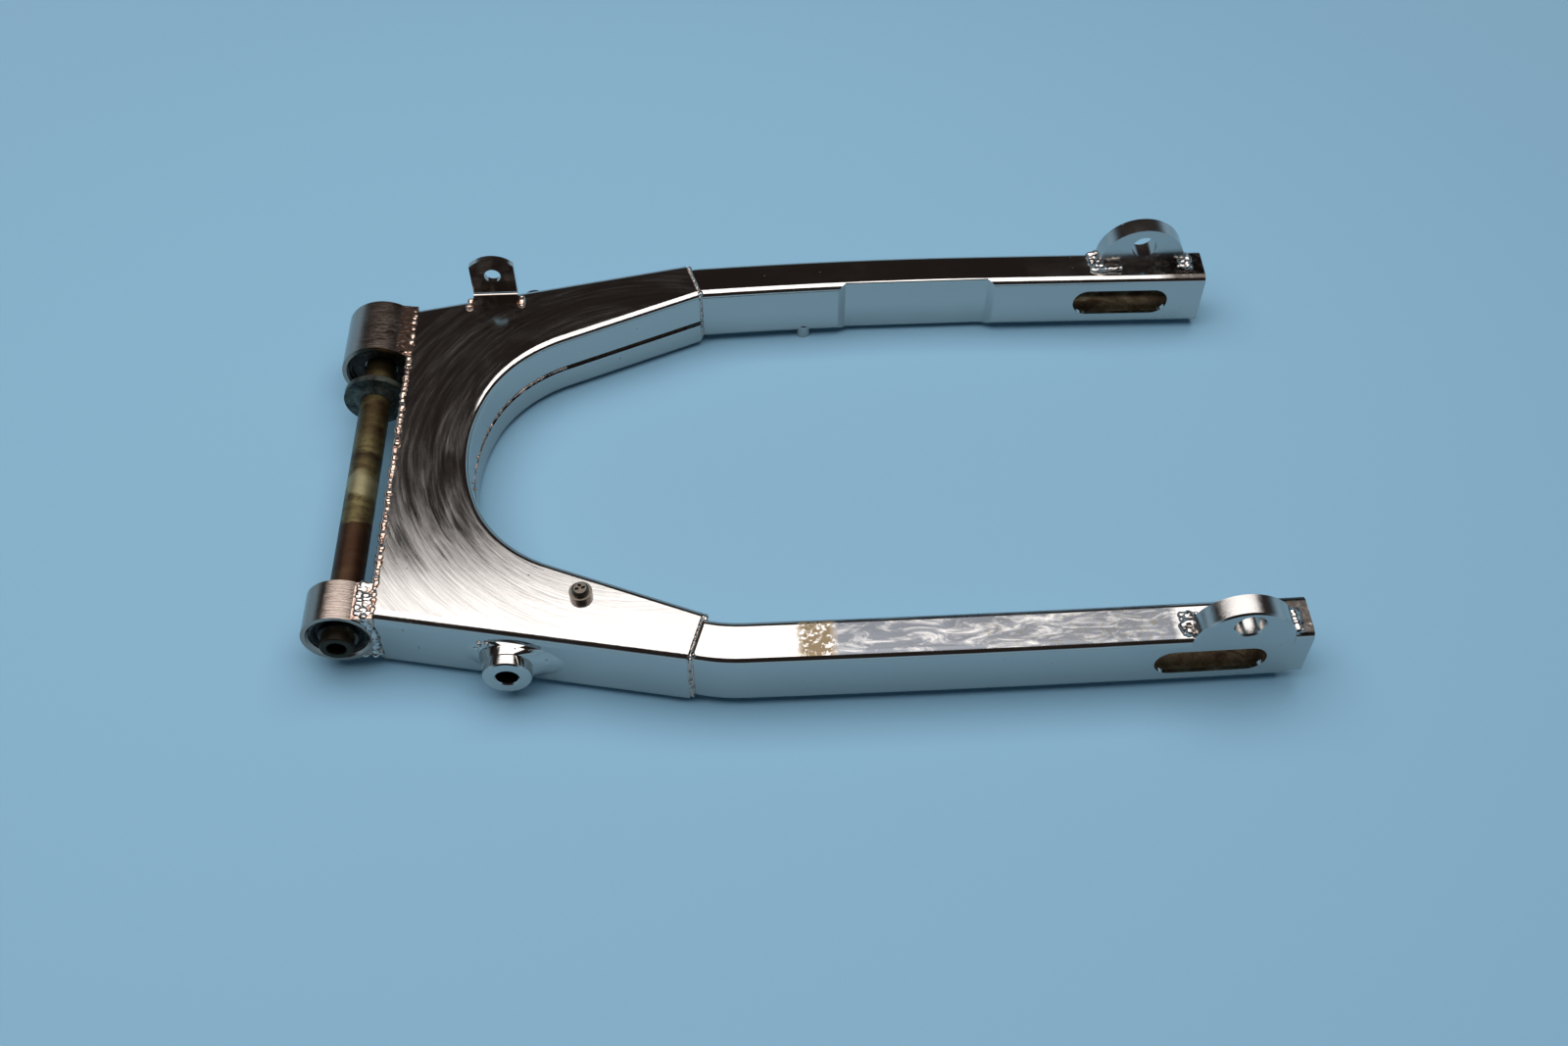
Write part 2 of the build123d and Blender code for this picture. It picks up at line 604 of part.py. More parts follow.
# Weld along the inner wall: it lies back from the surface and is filled up near the sockets
with BuildPart() as seam_fill:
    with BuildSketch(Plane((0, 0, SEAM_BOTTOM))):
        with BuildLine():
            band_half(SEAM_FLUSH, SEAM_RECESS, 0)
        make_face()
    extrude(amount=SEAM_HEIGHT)
    filled_from = MOUTH_CENTRE - heading(MOUTH_ANGLE) * SEAM_FILLED_END
    split(bisect_by=Plane(filled_from, x_dir=(0, 0, 1), z_dir=heading(MOUTH_ANGLE)), keep=Keep.TOP)
    mirror(about=Plane.XZ)
with BuildPart() as inner_seam_weld:
    with BuildSketch(Plane((0, 0, SEAM_BOTTOM))):
        with BuildLine():
            band_half(SEAM_RECESS, YOKE_WALL + SEAM_BACKING, 0)
        make_face()
        mirror(about=Plane.XZ)
    extrude(amount=SEAM_HEIGHT)
    add(seam_fill.part)
    add(left_arm_form.part, mode=Mode.SUBTRACT)
    add(right_arm_form.part, mode=Mode.SUBTRACT)
inner_seam_weld.part.label = "inner_seam_weld"
export_step(inner_seam_weld.part, "parts/inner_seam_weld.step")

# Plate that closes the front of the yoke
with BuildPart() as yoke_front_plate:
    with BuildSketch(Plane((PLATE_FRONT_X, 0, ARM_Z), x_dir=(0, 1, 0), z_dir=(1, 0, 0))):
        Rectangle(2 * YOKE_FRONT_HALF - PLATE_STEP, 2 * (YOKE_HALF_HEIGHT - PLATE_STEP))
    extrude(amount=PLATE_THICKNESS)
    fillet(yoke_front_plate.edges().filter_by(Axis.X), radius=YOKE_OUTER_FILLET - PLATE_STEP)
    add(left_barrel.part, mode=Mode.SUBTRACT)
    add(right_barrel.part, mode=Mode.SUBTRACT)
yoke_front_plate.part.label = "yoke_front_plate"
export_step(yoke_front_plate.part, "parts/yoke_front_plate.step")

# Left pivot housing, and the weld built up between it and the plate, above and below
with BuildPart() as left_pivot_housing:
    with BuildSketch(HOUSING_PLANE_LEFT):
        Circle(LEFT_HOUSING_RADIUS)
        Circle(LEFT_HOUSING_BORE, mode=Mode.SUBTRACT)
    extrude(amount=LEFT_HOUSING_LENGTH)
    bore_rims = left_pivot_housing.edges().filter_by(GeomType.CIRCLE).sort_by(SortBy.RADIUS)[:2]
    chamfer(bore_rims, length=HOUSING_CHAMFER)
left_pivot_housing.part.label = "left_pivot_housing"
export_step(left_pivot_housing.part, "parts/left_pivot_housing.step")

with BuildPart() as left_pivot_weld:
    with BuildSketch(HOUSING_PLANE_LEFT.offset(PIVOT_WELD_END)):
        with BuildLine():
            Polyline(
                (PIVOT_WELD_START_X, PIVOT_WELD_TOP),
                (YOKE_FRONT_X, PIVOT_WELD_TOP),
                (YOKE_FRONT_X, PIVOT_WELD_TOP - PIVOT_WELD_DEPTH),
                (PIVOT_WELD_START_X, PIVOT_WELD_TOP - PIVOT_WELD_DEPTH),
                close=True,
            )
        make_face()
        mirror(about=Plane.XZ)
    extrude(amount=LEFT_HOUSING_LENGTH - 2 * PIVOT_WELD_END)
    add(left_barrel.part, mode=Mode.SUBTRACT)
    add(yoke_block.part, mode=Mode.SUBTRACT)
    add(yoke_front_plate.part, mode=Mode.SUBTRACT)
left_pivot_weld.part.label = "left_pivot_weld"
export_step(left_pivot_weld.part, "parts/left_pivot_weld.step")

# Right pivot housing and its fillets of weld, above and below
with BuildPart() as right_pivot_housing:
    with BuildSketch(HOUSING_PLANE_RIGHT):
        Circle(RIGHT_HOUSING_RADIUS)
        Circle(RIGHT_HOUSING_BORE, mode=Mode.SUBTRACT)
    extrude(amount=RIGHT_HOUSING_LENGTH)
    bore_rims = right_pivot_housing.edges().filter_by(GeomType.CIRCLE).sort_by(SortBy.RADIUS)[:2]
    chamfer(bore_rims, length=HOUSING_CHAMFER)
right_pivot_housing.part.label = "right_pivot_housing"
export_step(right_pivot_housing.part, "parts/right_pivot_housing.step")

FILLET_START_X = RIGHT_HOUSING_RADIUS * math.sin(math.radians(PIVOT_FILLET_ANGLE))
FILLET_START_Z = RIGHT_HOUSING_RADIUS * math.cos(math.radians(PIVOT_FILLET_ANGLE)) - PIVOT_FILLET_SINK
with BuildPart() as right_pivot_weld:
    with BuildSketch(HOUSING_PLANE_RIGHT.offset(PIVOT_WELD_END)):
        with BuildLine():
            Polyline(
                (FILLET_START_X, FILLET_START_Z),
                (FILLET_START_X + PIVOT_FILLET_LAND, FILLET_START_Z),
                (YOKE_FRONT_X + PIVOT_FILLET_REACH, YOKE_TOP + PIVOT_FILLET_RISE),
                (YOKE_FRONT_X + PIVOT_FILLET_REACH, YOKE_TOP - PIVOT_WELD_DEPTH),
                (FILLET_START_X, YOKE_TOP - PIVOT_WELD_DEPTH),
                close=True,
            )
        make_face()
        mirror(about=Plane.XZ)
    extrude(amount=RIGHT_HOUSING_LENGTH - 2 * PIVOT_WELD_END)
    add(right_barrel.part, mode=Mode.SUBTRACT)
    add(yoke_block.part, mode=Mode.SUBTRACT)
    add(yoke_front_plate.part, mode=Mode.SUBTRACT)
right_pivot_weld.part.label = "right_pivot_weld"
export_step(right_pivot_weld.part, "parts/right_pivot_weld.step")

# Weld beads along the upper and the lower edge of the plate
BEAD_X = YOKE_FRONT_X - FRONT_BEAD_BACK
BEAD_END = YOKE_FRONT_HALF - YOKE_OUTER_FILLET + PLATE_STEP
BEAD_PLANE_TOP = Plane((BEAD_X, -BEAD_END, YOKE_TOP - FRONT_BEAD_SINK), x_dir=(1, 0, 0), z_dir=(0, 1, 0))
BEAD_PLANE_BOTTOM = Plane((BEAD_X, -BEAD_END, YOKE_BOTTOM + FRONT_BEAD_SINK), x_dir=(1, 0, 0), z_dir=(0, 1, 0))
BEAD_NEIGHBOURS = (yoke_block, yoke_front_plate, left_barrel, right_barrel, left_pivot_weld, right_pivot_weld)
with BuildPart() as front_weld_top:
    with BuildSketch(BEAD_PLANE_TOP):
        Circle(FRONT_BEAD_RADIUS)
    extrude(amount=2 * BEAD_END)
    for neighbour in BEAD_NEIGHBOURS:
        add(neighbour.part, mode=Mode.SUBTRACT)
front_weld_top.part.label = "front_weld_top"
export_step(front_weld_top.part, "parts/front_weld_top.step")
with BuildPart() as front_weld_bottom:
    with BuildSketch(BEAD_PLANE_BOTTOM):
        Circle(FRONT_BEAD_RADIUS)
    extrude(amount=2 * BEAD_END)
    for neighbour in BEAD_NEIGHBOURS:
        add(neighbour.part, mode=Mode.SUBTRACT)
front_weld_bottom.part.label = "front_weld_bottom"
export_step(front_weld_bottom.part, "parts/front_weld_bottom.step")

# Beads round the arm tubes at the sockets
OUTER_CORNER = mouth_corner(outer_line_point(0), YOKE_OUTER_ANGLE, 0)
INNER_CORNER = mouth_corner(inner_line_point(0), YOKE_INNER_ANGLE, 0)
SOCKET_WIDTH = (OUTER_CORNER - INNER_CORNER).length
BEAD_WIDTH = SOCKET_WIDTH - 2 * JOINT_BEAD_DROP
BEAD_HEIGHT = 2 * (YOKE_HALF_HEIGHT - JOINT_BEAD_DROP)
BEAD_CORNER = ARM_CORNER + (BEAD_HEIGHT - ARM_HEIGHT) / 2
BEAD_CENTRE = (OUTER_CORNER + INNER_CORNER) / 2

with BuildPart() as left_joint_weld:
    with BuildSketch(section_plane(mirrored(BEAD_CENTRE), mirrored(heading(MOUTH_ANGLE)))):
        RectangleRounded(BEAD_HEIGHT, BEAD_WIDTH, BEAD_CORNER)
    extrude(amount=JOINT_BEAD_LENGTH, taper=JOINT_BEAD_SLOPE)
    add(left_arm_form.part, mode=Mode.SUBTRACT)
    add(yoke_block.part, mode=Mode.SUBTRACT)
left_joint_weld.part.label = "left_joint_weld"
export_step(left_joint_weld.part, "parts/left_joint_weld.step")
with BuildPart() as right_joint_weld:
    with BuildSketch(section_plane(BEAD_CENTRE, heading(MOUTH_ANGLE))):
        RectangleRounded(BEAD_HEIGHT, BEAD_WIDTH, BEAD_CORNER)
    extrude(amount=JOINT_BEAD_LENGTH, taper=JOINT_BEAD_SLOPE)
    add(right_arm_form.part, mode=Mode.SUBTRACT)
    add(yoke_block.part, mode=Mode.SUBTRACT)
right_joint_weld.part.label = "right_joint_weld"
export_step(right_joint_weld.part, "parts/right_joint_weld.step")

# Shock absorber lugs: thick eyes that straddle the arms' upper outer corners
LUG_LIMIT = Plane((0, 0, ARM_TOP - ARM_CORNER))
LEFT_LUG_Y = left_centre(LEFT_LUG_X) - LEFT_LUG_OFFSET
RIGHT_LUG_Y = right_centre(RIGHT_LUG_X) + RIGHT_LUG_OFFSET
LEFT_LUG_FACE = Plane((LEFT_LUG_X, LEFT_LUG_Y, LEFT_LUG_Z), x_dir=(1, 0, 0), z_dir=(0, -1, 0))
RIGHT_LUG_FACE = Plane(
    (RIGHT_LUG_X, RIGHT_LUG_Y + LUG_THICKNESS, RIGHT_LUG_Z), x_dir=(1, 0, 0), z_dir=(0, -1, 0)
)
with BuildPart() as left_shock_lug:
    with BuildSketch(LEFT_LUG_FACE):
        Circle(LUG_RADIUS)
        with Locations((0, LEFT_LUG_RISE)):
            Circle(LUG_HOLE_RADIUS, mode=Mode.SUBTRACT)
    extrude(amount=LUG_THICKNESS)
    chamfer(left_shock_lug.faces().sort_by(Axis.Y)[0].edges(), length=LUG_EDGE)
    add(left_arm_form.part, mode=Mode.SUBTRACT)
    split(bisect_by=LUG_LIMIT, keep=Keep.TOP)
left_shock_lug.part.label = "left_shock_lug"
export_step(left_shock_lug.part, "parts/left_shock_lug.step")
with BuildPart() as right_shock_lug:
    with BuildSketch(RIGHT_LUG_FACE):
        Circle(LUG_RADIUS)
        with Locations((0, RIGHT_LUG_RISE)):
            Circle(LUG_HOLE_RADIUS, mode=Mode.SUBTRACT)
    extrude(amount=LUG_THICKNESS)
    chamfer(right_shock_lug.faces().sort_by(Axis.Y)[-1].edges(), length=LUG_EDGE)
    add(right_arm_form.part, mode=Mode.SUBTRACT)
    split(bisect_by=LUG_LIMIT, keep=Keep.TOP)
right_shock_lug.part.label = "right_shock_lug"
export_step(right_shock_lug.part, "parts/right_shock_lug.step")


def rim_reach(rise):
    """Distance from a lug's centre to its rim at the height of the arm's top."""
    return math.sqrt(LUG_RADIUS**2 - (ARM_TOP - rise) ** 2)


def weld_plane(along, inset_y, way):
    """Plane across an arm at the end of a lug, from which its weld runs outward."""
    return Plane((along, inset_y, ARM_TOP - LUG_WELD_SINK), x_dir=(1, 0, 0), z_dir=(0, way, 0))


# Welds before and behind each lug
LEFT_WELD_Y = left_centre(LEFT_LUG_X) + LEFT_WELD_INSET
RIGHT_WELD_Y = right_centre(RIGHT_LUG_X) - RIGHT_WELD_INSET
with BuildPart() as left_lug_weld_front:
    with BuildSketch(weld_plane(LEFT_LUG_X - rim_reach(LEFT_LUG_Z), LEFT_WELD_Y, -1)):
        SlotOverall(2 * LUG_WELD_REACH, 2 * LUG_WELD_RISE)
    extrude(amount=LUG_WELD_LENGTH)
    chamfer(left_lug_weld_front.faces().filter_by(Axis.Y).edges(), length=LUG_WELD_EDGE)
    add(left_shock_lug.part, mode=Mode.SUBTRACT)
    add(left_arm_form.part, mode=Mode.SUBTRACT)
    split(bisect_by=LUG_LIMIT, keep=Keep.TOP)
left_lug_weld_front.part.label = "left_lug_weld_front"
export_step(left_lug_weld_front.part, "parts/left_lug_weld_front.step")
with BuildPart() as left_lug_weld_rear:
    with BuildSketch(weld_plane(LEFT_LUG_X + rim_reach(LEFT_LUG_Z), LEFT_WELD_Y, -1)):
        SlotOverall(2 * LUG_WELD_REACH, 2 * LUG_WELD_RISE)
    extrude(amount=LUG_WELD_LENGTH)
    chamfer(left_lug_weld_rear.faces().filter_by(Axis.Y).edges(), length=LUG_WELD_EDGE)
    add(left_shock_lug.part, mode=Mode.SUBTRACT)
    add(left_arm_form.part, mode=Mode.SUBTRACT)
    split(bisect_by=LUG_LIMIT, keep=Keep.TOP)
left_lug_weld_rear.part.label = "left_lug_weld_rear"
export_step(left_lug_weld_rear.part, "parts/left_lug_weld_rear.step")
with BuildPart() as right_lug_weld_front:
    with BuildSketch(weld_plane(RIGHT_LUG_X - rim_reach(RIGHT_LUG_Z) + LUG_WELD_OVERLAP, RIGHT_WELD_Y, 1)):
        SlotOverall(2 * (LUG_WELD_REACH + LUG_WELD_OVERLAP), 2 * LUG_WELD_RISE)
    extrude(amount=LUG_WELD_LENGTH + LUG_WELD_SPREAD)
    chamfer(right_lug_weld_front.faces().filter_by(Axis.Y).edges(), length=LUG_WELD_EDGE)
    add(right_shock_lug.part, mode=Mode.SUBTRACT)
    add(right_arm_form.part, mode=Mode.SUBTRACT)
    split(bisect_by=LUG_LIMIT, keep=Keep.TOP)
right_lug_weld_front.part.label = "right_lug_weld_front"
export_step(right_lug_weld_front.part, "parts/right_lug_weld_front.step")
with BuildPart() as right_lug_weld_rear:
    with BuildSketch(weld_plane(RIGHT_LUG_X + rim_reach(RIGHT_LUG_Z), RIGHT_WELD_Y, 1)):
        SlotOverall(2 * LUG_WELD_REACH, 2 * LUG_WELD_RISE)
    extrude(amount=LUG_WELD_LENGTH)
    chamfer(right_lug_weld_rear.faces().filter_by(Axis.Y).edges(), length=LUG_WELD_EDGE)
    add(right_shock_lug.part, mode=Mode.SUBTRACT)
    add(right_arm_form.part, mode=Mode.SUBTRACT)
    split(bisect_by=LUG_LIMIT, keep=Keep.TOP)
right_lug_weld_rear.part.label = "right_lug_weld_rear"
export_step(right_lug_weld_rear.part, "parts/right_lug_weld_rear.step")

# Brake anchor boss, square to the frame although the wall behind it is oblique
with BuildPart() as brake_anchor_boss:
    with BuildSketch(BOSS_PLANE):
        Circle(BOSS_RADIUS)
    extrude(amount=BOSS_REACH)
    add(anchor_drill.part, mode=Mode.SUBTRACT)
    boss_rims = brake_anchor_boss.faces().sort_by(Axis.Y)[0].edges()
    chamfer(boss_rims, length=BOSS_CHAMFER)
    add(yoke_block.part, mode=Mode.SUBTRACT)
brake_anchor_boss.part.label = "brake_anchor_boss"
export_step(brake_anchor_boss.part, "parts/brake_anchor_boss.step")

# Flared saddle that carries the boss: ellipses that narrow from the wall up to the boss
SADDLE_X = BOSS_X + SADDLE_SHIFT
WALL_Y = -outer_wall(SADDLE_X, 0)
WALL_WAY = mirrored(heading(YOKE_OUTER_ANGLE))
WALL_OUTWARD = mirrored(heading(YOKE_OUTER_ANGLE + 90))
SADDLE_WALL = Plane((SADDLE_X, WALL_Y, BOSS_Z), x_dir=WALL_WAY, z_dir=WALL_OUTWARD)
SADDLE_CROWN = Plane((BOSS_X, WALL_Y - SADDLE_HEIGHT, BOSS_Z), x_dir=(1, 0, 0), z_dir=(0, -1, 0))
with BuildPart() as brake_anchor_saddle:
    with BuildSketch(SADDLE_WALL):
        Ellipse(SADDLE_HALF_LENGTH, SADDLE_HALF_HEIGHT)
    with BuildSketch(SADDLE_WALL.offset(SADDLE_WAIST_RISE)):
        Ellipse(SADDLE_WAIST_LENGTH, SADDLE_WAIST_HEIGHT)
    with BuildSketch(SADDLE_CROWN):
        Circle(BOSS_RADIUS + SADDLE_LAND)
    loft(ruled=True)
    with BuildSketch(BOSS_PLANE):
        Circle(BOSS_RADIUS)
    extrude(amount=BOSS_REACH, mode=Mode.SUBTRACT)
    add(yoke_block.part, mode=Mode.SUBTRACT)
brake_anchor_saddle.part.label = "brake_anchor_saddle"
export_step(brake_anchor_saddle.part, "parts/brake_anchor_saddle.step")

# Upright bracket, bent from flat bar, on the right edge of the yoke
BRACKET_BACK_Y = outer_wall(BRACKET_X, 0)
BRACKET_FACE_Y = BRACKET_BACK_Y - BRACKET_THICKNESS
BRACKET_FOOT_Y = BRACKET_FACE_Y - BRACKET_FOOT_LENGTH
with BuildPart() as guard_bracket:
    with BuildSketch(Plane((BRACKET_X - BRACKET_WIDTH / 2, 0, YOKE_TOP), x_dir=(0, 1, 0), z_dir=(1, 0, 0))):
        with BuildLine():
            Polyline(
                (BRACKET_FOOT_Y, 0),
                (BRACKET_BACK_Y, 0),
                (BRACKET_BACK_Y, BRACKET_RISE),
                (BRACKET_FACE_Y, BRACKET_RISE),
                (BRACKET_FACE_Y, BRACKET_THICKNESS),
                (BRACKET_FOOT_Y, BRACKET_THICKNESS),
                close=True,
            )
        make_face()
    extrude(amount=BRACKET_WIDTH)
    outer_bend = guard_bracket.edges().filter_by(Axis.X).sort_by(lambda edge: edge.center().Z - edge.center().Y)[0]
    fillet(outer_bend, radius=BRACKET_BEND + BRACKET_THICKNESS)
    corner = Vector(BRACKET_X, BRACKET_FACE_Y, YOKE_TOP + BRACKET_THICKNESS)
    inner_bend = guard_bracket.edges().filter_by(Axis.X).sort_by(lambda edge: (edge.center() - corner).length)[0]
    fillet(inner_bend, radius=BRACKET_BEND)
    with BuildSketch(Plane((BRACKET_X, BRACKET_BACK_Y, YOKE_TOP), x_dir=(1, 0, 0), z_dir=(0, -1, 0))):
        with BuildLine():
            Polyline(
                (-BRACKET_WIDTH / 2, BRACKET_RISE - BRACKET_CROWN),
                (-BRACKET_WIDTH / 2, 0),
                (BRACKET_WIDTH / 2, 0),
                (BRACKET_WIDTH / 2, BRACKET_RISE - BRACKET_CROWN),
            )
            ThreePointArc(
                (BRACKET_WIDTH / 2, BRACKET_RISE - BRACKET_CROWN),
                (0, BRACKET_RISE),
                (-BRACKET_WIDTH / 2, BRACKET_RISE - BRACKET_CROWN),
            )
        make_face()
        with Locations((0, BRACKET_HOLE_RISE)):
            Circle(BRACKET_HOLE_RADIUS, mode=Mode.SUBTRACT)
    extrude(amount=BRACKET_THICKNESS + BRACKET_FOOT_LENGTH, mode=Mode.INTERSECT)
guard_bracket.part.label = "guard_bracket"
export_step(guard_bracket.part, "parts/guard_bracket.step")

# Welds at both ends of the bracket's foot, the rear one heavier
FOOT_FRONT_X = BRACKET_X - BRACKET_WIDTH / 2
FOOT_REAR_X = BRACKET_X + BRACKET_WIDTH / 2
FOOT_FRONT = Plane((FOOT_FRONT_X, BRACKET_FOOT_Y, YOKE_TOP), x_dir=(1, 0, 0), z_dir=(0, 1, 0))
FOOT_REAR = Plane((FOOT_REAR_X, BRACKET_FOOT_Y, YOKE_TOP), x_dir=(1, 0, 0), z_dir=(0, 1, 0))
with BuildPart() as bracket_weld_front:
    with BuildSketch(FOOT_FRONT):
        SlotOverall(2 * FRONT_BRACKET_WELD_REACH, 2 * FRONT_BRACKET_WELD_RISE)
    extrude(amount=BRACKET_FOOT_LENGTH)
    chamfer(bracket_weld_front.faces().filter_by(Axis.Y).edges(), length=BRACKET_WELD_EDGE)
    add(guard_bracket.part, mode=Mode.SUBTRACT)
    add(yoke_block.part, mode=Mode.SUBTRACT)
    split(bisect_by=Plane((FOOT_FRONT_X, 0, 0), z_dir=(1, 0, 0)), keep=Keep.BOTTOM)
bracket_weld_front.part.label = "bracket_weld_front"
export_step(bracket_weld_front.part, "parts/bracket_weld_front.step")
with BuildPart() as bracket_weld_rear:
    with BuildSketch(FOOT_REAR):
        SlotOverall(2 * REAR_BRACKET_WELD_REACH, 2 * REAR_BRACKET_WELD_RISE)
    extrude(amount=BRACKET_FOOT_LENGTH)
    chamfer(bracket_weld_rear.faces().filter_by(Axis.Y).edges(), length=BRACKET_WELD_EDGE)
    add(guard_bracket.part, mode=Mode.SUBTRACT)
    add(yoke_block.part, mode=Mode.SUBTRACT)
    split(bisect_by=Plane((FOOT_REAR_X, 0, 0), z_dir=(1, 0, 0)), keep=Keep.TOP)
bracket_weld_rear.part.label = "bracket_weld_rear"
export_step(bracket_weld_rear.part, "parts/bracket_weld_rear.step")

# Round boss on the yoke's top, and its cross-head screw
TOP_BOSS_Y = -outer_wall(TOP_BOSS_X, 0) + TOP_BOSS_INSET
TOP_BOSS_PLANE = Plane((TOP_BOSS_X, TOP_BOSS_Y, YOKE_TOP))
with BuildPart() as top_screw_boss:
    with BuildSketch(TOP_BOSS_PLANE):
        Circle(TOP_BOSS_RADIUS)
        Circle(SCREW_SHANK_RADIUS + SCREW_CLEARANCE, mode=Mode.SUBTRACT)
    extrude(amount=TOP_BOSS_HEIGHT)
top_screw_boss.part.label = "top_screw_boss"
export_step(top_screw_boss.part, "parts/top_screw_boss.step")
with BuildPart() as top_screw:
    with BuildSketch(TOP_BOSS_PLANE.offset(TOP_BOSS_HEIGHT)):
        Circle(SCREW_HEAD_RADIUS)
    extrude(amount=SCREW_HEAD_HEIGHT)
    chamfer(top_screw.edges().group_by(Axis.Z)[-1], length=SCREW_HEAD_EDGE)
    with BuildSketch(TOP_BOSS_PLANE.offset(TOP_BOSS_HEIGHT)):
        Circle(SCREW_SHANK_RADIUS)
    extrude(amount=-SCREW_SHANK_LENGTH)
    with BuildSketch(TOP_BOSS_PLANE.offset(TOP_BOSS_HEIGHT + SCREW_HEAD_HEIGHT)):
        Rectangle(CROSS_LENGTH, CROSS_WIDTH)
        Rectangle(CROSS_WIDTH, CROSS_LENGTH)
    extrude(amount=-CROSS_DEPTH, mode=Mode.SUBTRACT)
top_screw.part.label = "top_screw"
export_step(top_screw.part, "parts/top_screw.step")

# Low round boss on the right outer wall of the yoke
SIDE_WALL_Y = outer_wall(SIDE_BOSS_X, 0)
SIDE_BOSS_PLANE = Plane(
    (SIDE_BOSS_X, SIDE_WALL_Y, SIDE_BOSS_Z),
    x_dir=heading(YOKE_OUTER_ANGLE),
    z_dir=heading(YOKE_OUTER_ANGLE + 90),
)
with BuildPart() as right_side_boss:
    with BuildSketch(SIDE_BOSS_PLANE.offset(-YOKE_OUTER_FILLET)):
        Circle(SIDE_BOSS_RADIUS)
    extrude(amount=YOKE_OUTER_FILLET + SIDE_BOSS_HEIGHT)
    add(yoke_block.part, mode=Mode.SUBTRACT)
right_side_boss.part.label = "right_side_boss"
export_step(right_side_boss.part, "parts/right_side_boss.step")

# Stud under the right arm
STUD_Y = right_centre(STUD_X) - ARM_WIDTH / 2 + STUD_INSET
with BuildPart() as under_arm_stud:
    with BuildSketch(Plane((STUD_X, STUD_Y, ARM_Z - ARM_HEIGHT / 2 - STUD_LENGTH))):
        Circle(STUD_RADIUS)
    extrude(amount=STUD_LENGTH + ARM_CORNER)
    add(right_arm_form.part, mode=Mode.SUBTRACT)
under_arm_stud.part.label = "under_arm_stud"
export_step(under_arm_stud.part, "parts/under_arm_stud.step")

# Pivot tube with its collar
with BuildPart() as pivot_tube:
    with BuildSketch(Plane((0, SHAFT_LEFT_Y, 0), x_dir=(1, 0, 0), z_dir=(0, 1, 0))):
        Circle(SHAFT_RADIUS)
        Circle(SHAFT_BORE, mode=Mode.SUBTRACT)
    extrude(amount=SHAFT_RIGHT_Y - SHAFT_LEFT_Y)
    chamfer(pivot_tube.edges().filter_by(GeomType.CIRCLE).sort_by(SortBy.RADIUS)[-2:], length=SHAFT_CHAMFER)
pivot_tube.part.label = "pivot_tube"
export_step(pivot_tube.part, "parts/pivot_tube.step")


SHAFT_FIT = SHAFT_RADIUS + PRESS_GAP
with BuildPart() as pivot_collar:
    with BuildSketch():
        with BuildLine():
            Polyline(
                (SHAFT_FIT, COLLAR_Y - COLLAR_HUB_LENGTH),
                (SHAFT_FIT, COLLAR_Y + COLLAR_THICKNESS),
                (COLLAR_RADIUS, COLLAR_Y + COLLAR_THICKNESS),
                (COLLAR_RADIUS, COLLAR_Y),
                (COLLAR_HUB_RADIUS, COLLAR_Y),
                (SHAFT_RADIUS + SHAFT_CHAMFER, COLLAR_Y - COLLAR_HUB_LENGTH),
                close=True,
            )
        make_face()
    revolve(axis=Axis.Y)
pivot_collar.part.label = "pivot_collar"
export_step(pivot_collar.part, "parts/pivot_collar.step")

# Left bush: steel shell, rubber, and the sleeve that the pivot tube turns in
BUSH_START = LEFT_HOUSING_Y + BUSH_INSET
BUSH_END = LEFT_HOUSING_INNER_Y - BUSH_INSET
BUSH_OUT = LEFT_HOUSING_BORE - PRESS_GAP
RUBBER_OUT = BUSH_OUT - BUSH_SHELL_WALL
SLEEVE_IN = SHAFT_RADIUS + RUNNING_CLEARANCE
SLEEVE_OUT = SLEEVE_IN + SLEEVE_WALL
RUBBER_MIDDLE = (SLEEVE_OUT + RUBBER_OUT) / 2
with BuildPart() as left_bush_shell:
    with BuildSketch():
        with BuildLine():
            Polyline(
                (RUBBER_OUT, BUSH_START),
                (BUSH_OUT, BUSH_START),
                (BUSH_OUT, BUSH_END),
                (RUBBER_OUT, BUSH_END),
                close=True,
            )
        make_face()
    revolve(axis=Axis.Y)
left_bush_shell.part.label = "left_bush_shell"
export_step(left_bush_shell.part, "parts/left_bush_shell.step")
with BuildPart() as left_bush_rubber:
    with BuildSketch():
        with BuildLine():
            Polyline(
                (SLEEVE_OUT, BUSH_START + RUBBER_DISH),
                (RUBBER_MIDDLE, BUSH_START + RUBBER_DISH),
                (RUBBER_MIDDLE + RUBBER_RIB, BUSH_START + RUBBER_INSET),
                (RUBBER_OUT, BUSH_START + RUBBER_INSET),
                (RUBBER_OUT, BUSH_END - RUBBER_INSET),
                (RUBBER_MIDDLE + RUBBER_RIB, BUSH_END - RUBBER_INSET),
                (RUBBER_MIDDLE, BUSH_END - RUBBER_DISH),
                (SLEEVE_OUT, BUSH_END - RUBBER_DISH),
                close=True,
            )
        make_face()
    revolve(axis=Axis.Y)
left_bush_rubber.part.label = "left_bush_rubber"
export_step(left_bush_rubber.part, "parts/left_bush_rubber.step")
with BuildPart() as left_bush_sleeve:
    with BuildSketch():
        with BuildLine():
            Polyline(
                (SLEEVE_IN, LEFT_HOUSING_Y + SLEEVE_INSET),
                (SLEEVE_OUT, LEFT_HOUSING_Y + SLEEVE_INSET),
                (SLEEVE_OUT, LEFT_HOUSING_INNER_Y - SLEEVE_INSET),
                (SLEEVE_IN, LEFT_HOUSING_INNER_Y - SLEEVE_INSET),
                close=True,
            )
        make_face()
    revolve(axis=Axis.Y)
left_bush_sleeve.part.label = "left_bush_sleeve"
export_step(left_bush_sleeve.part, "parts/left_bush_sleeve.step")

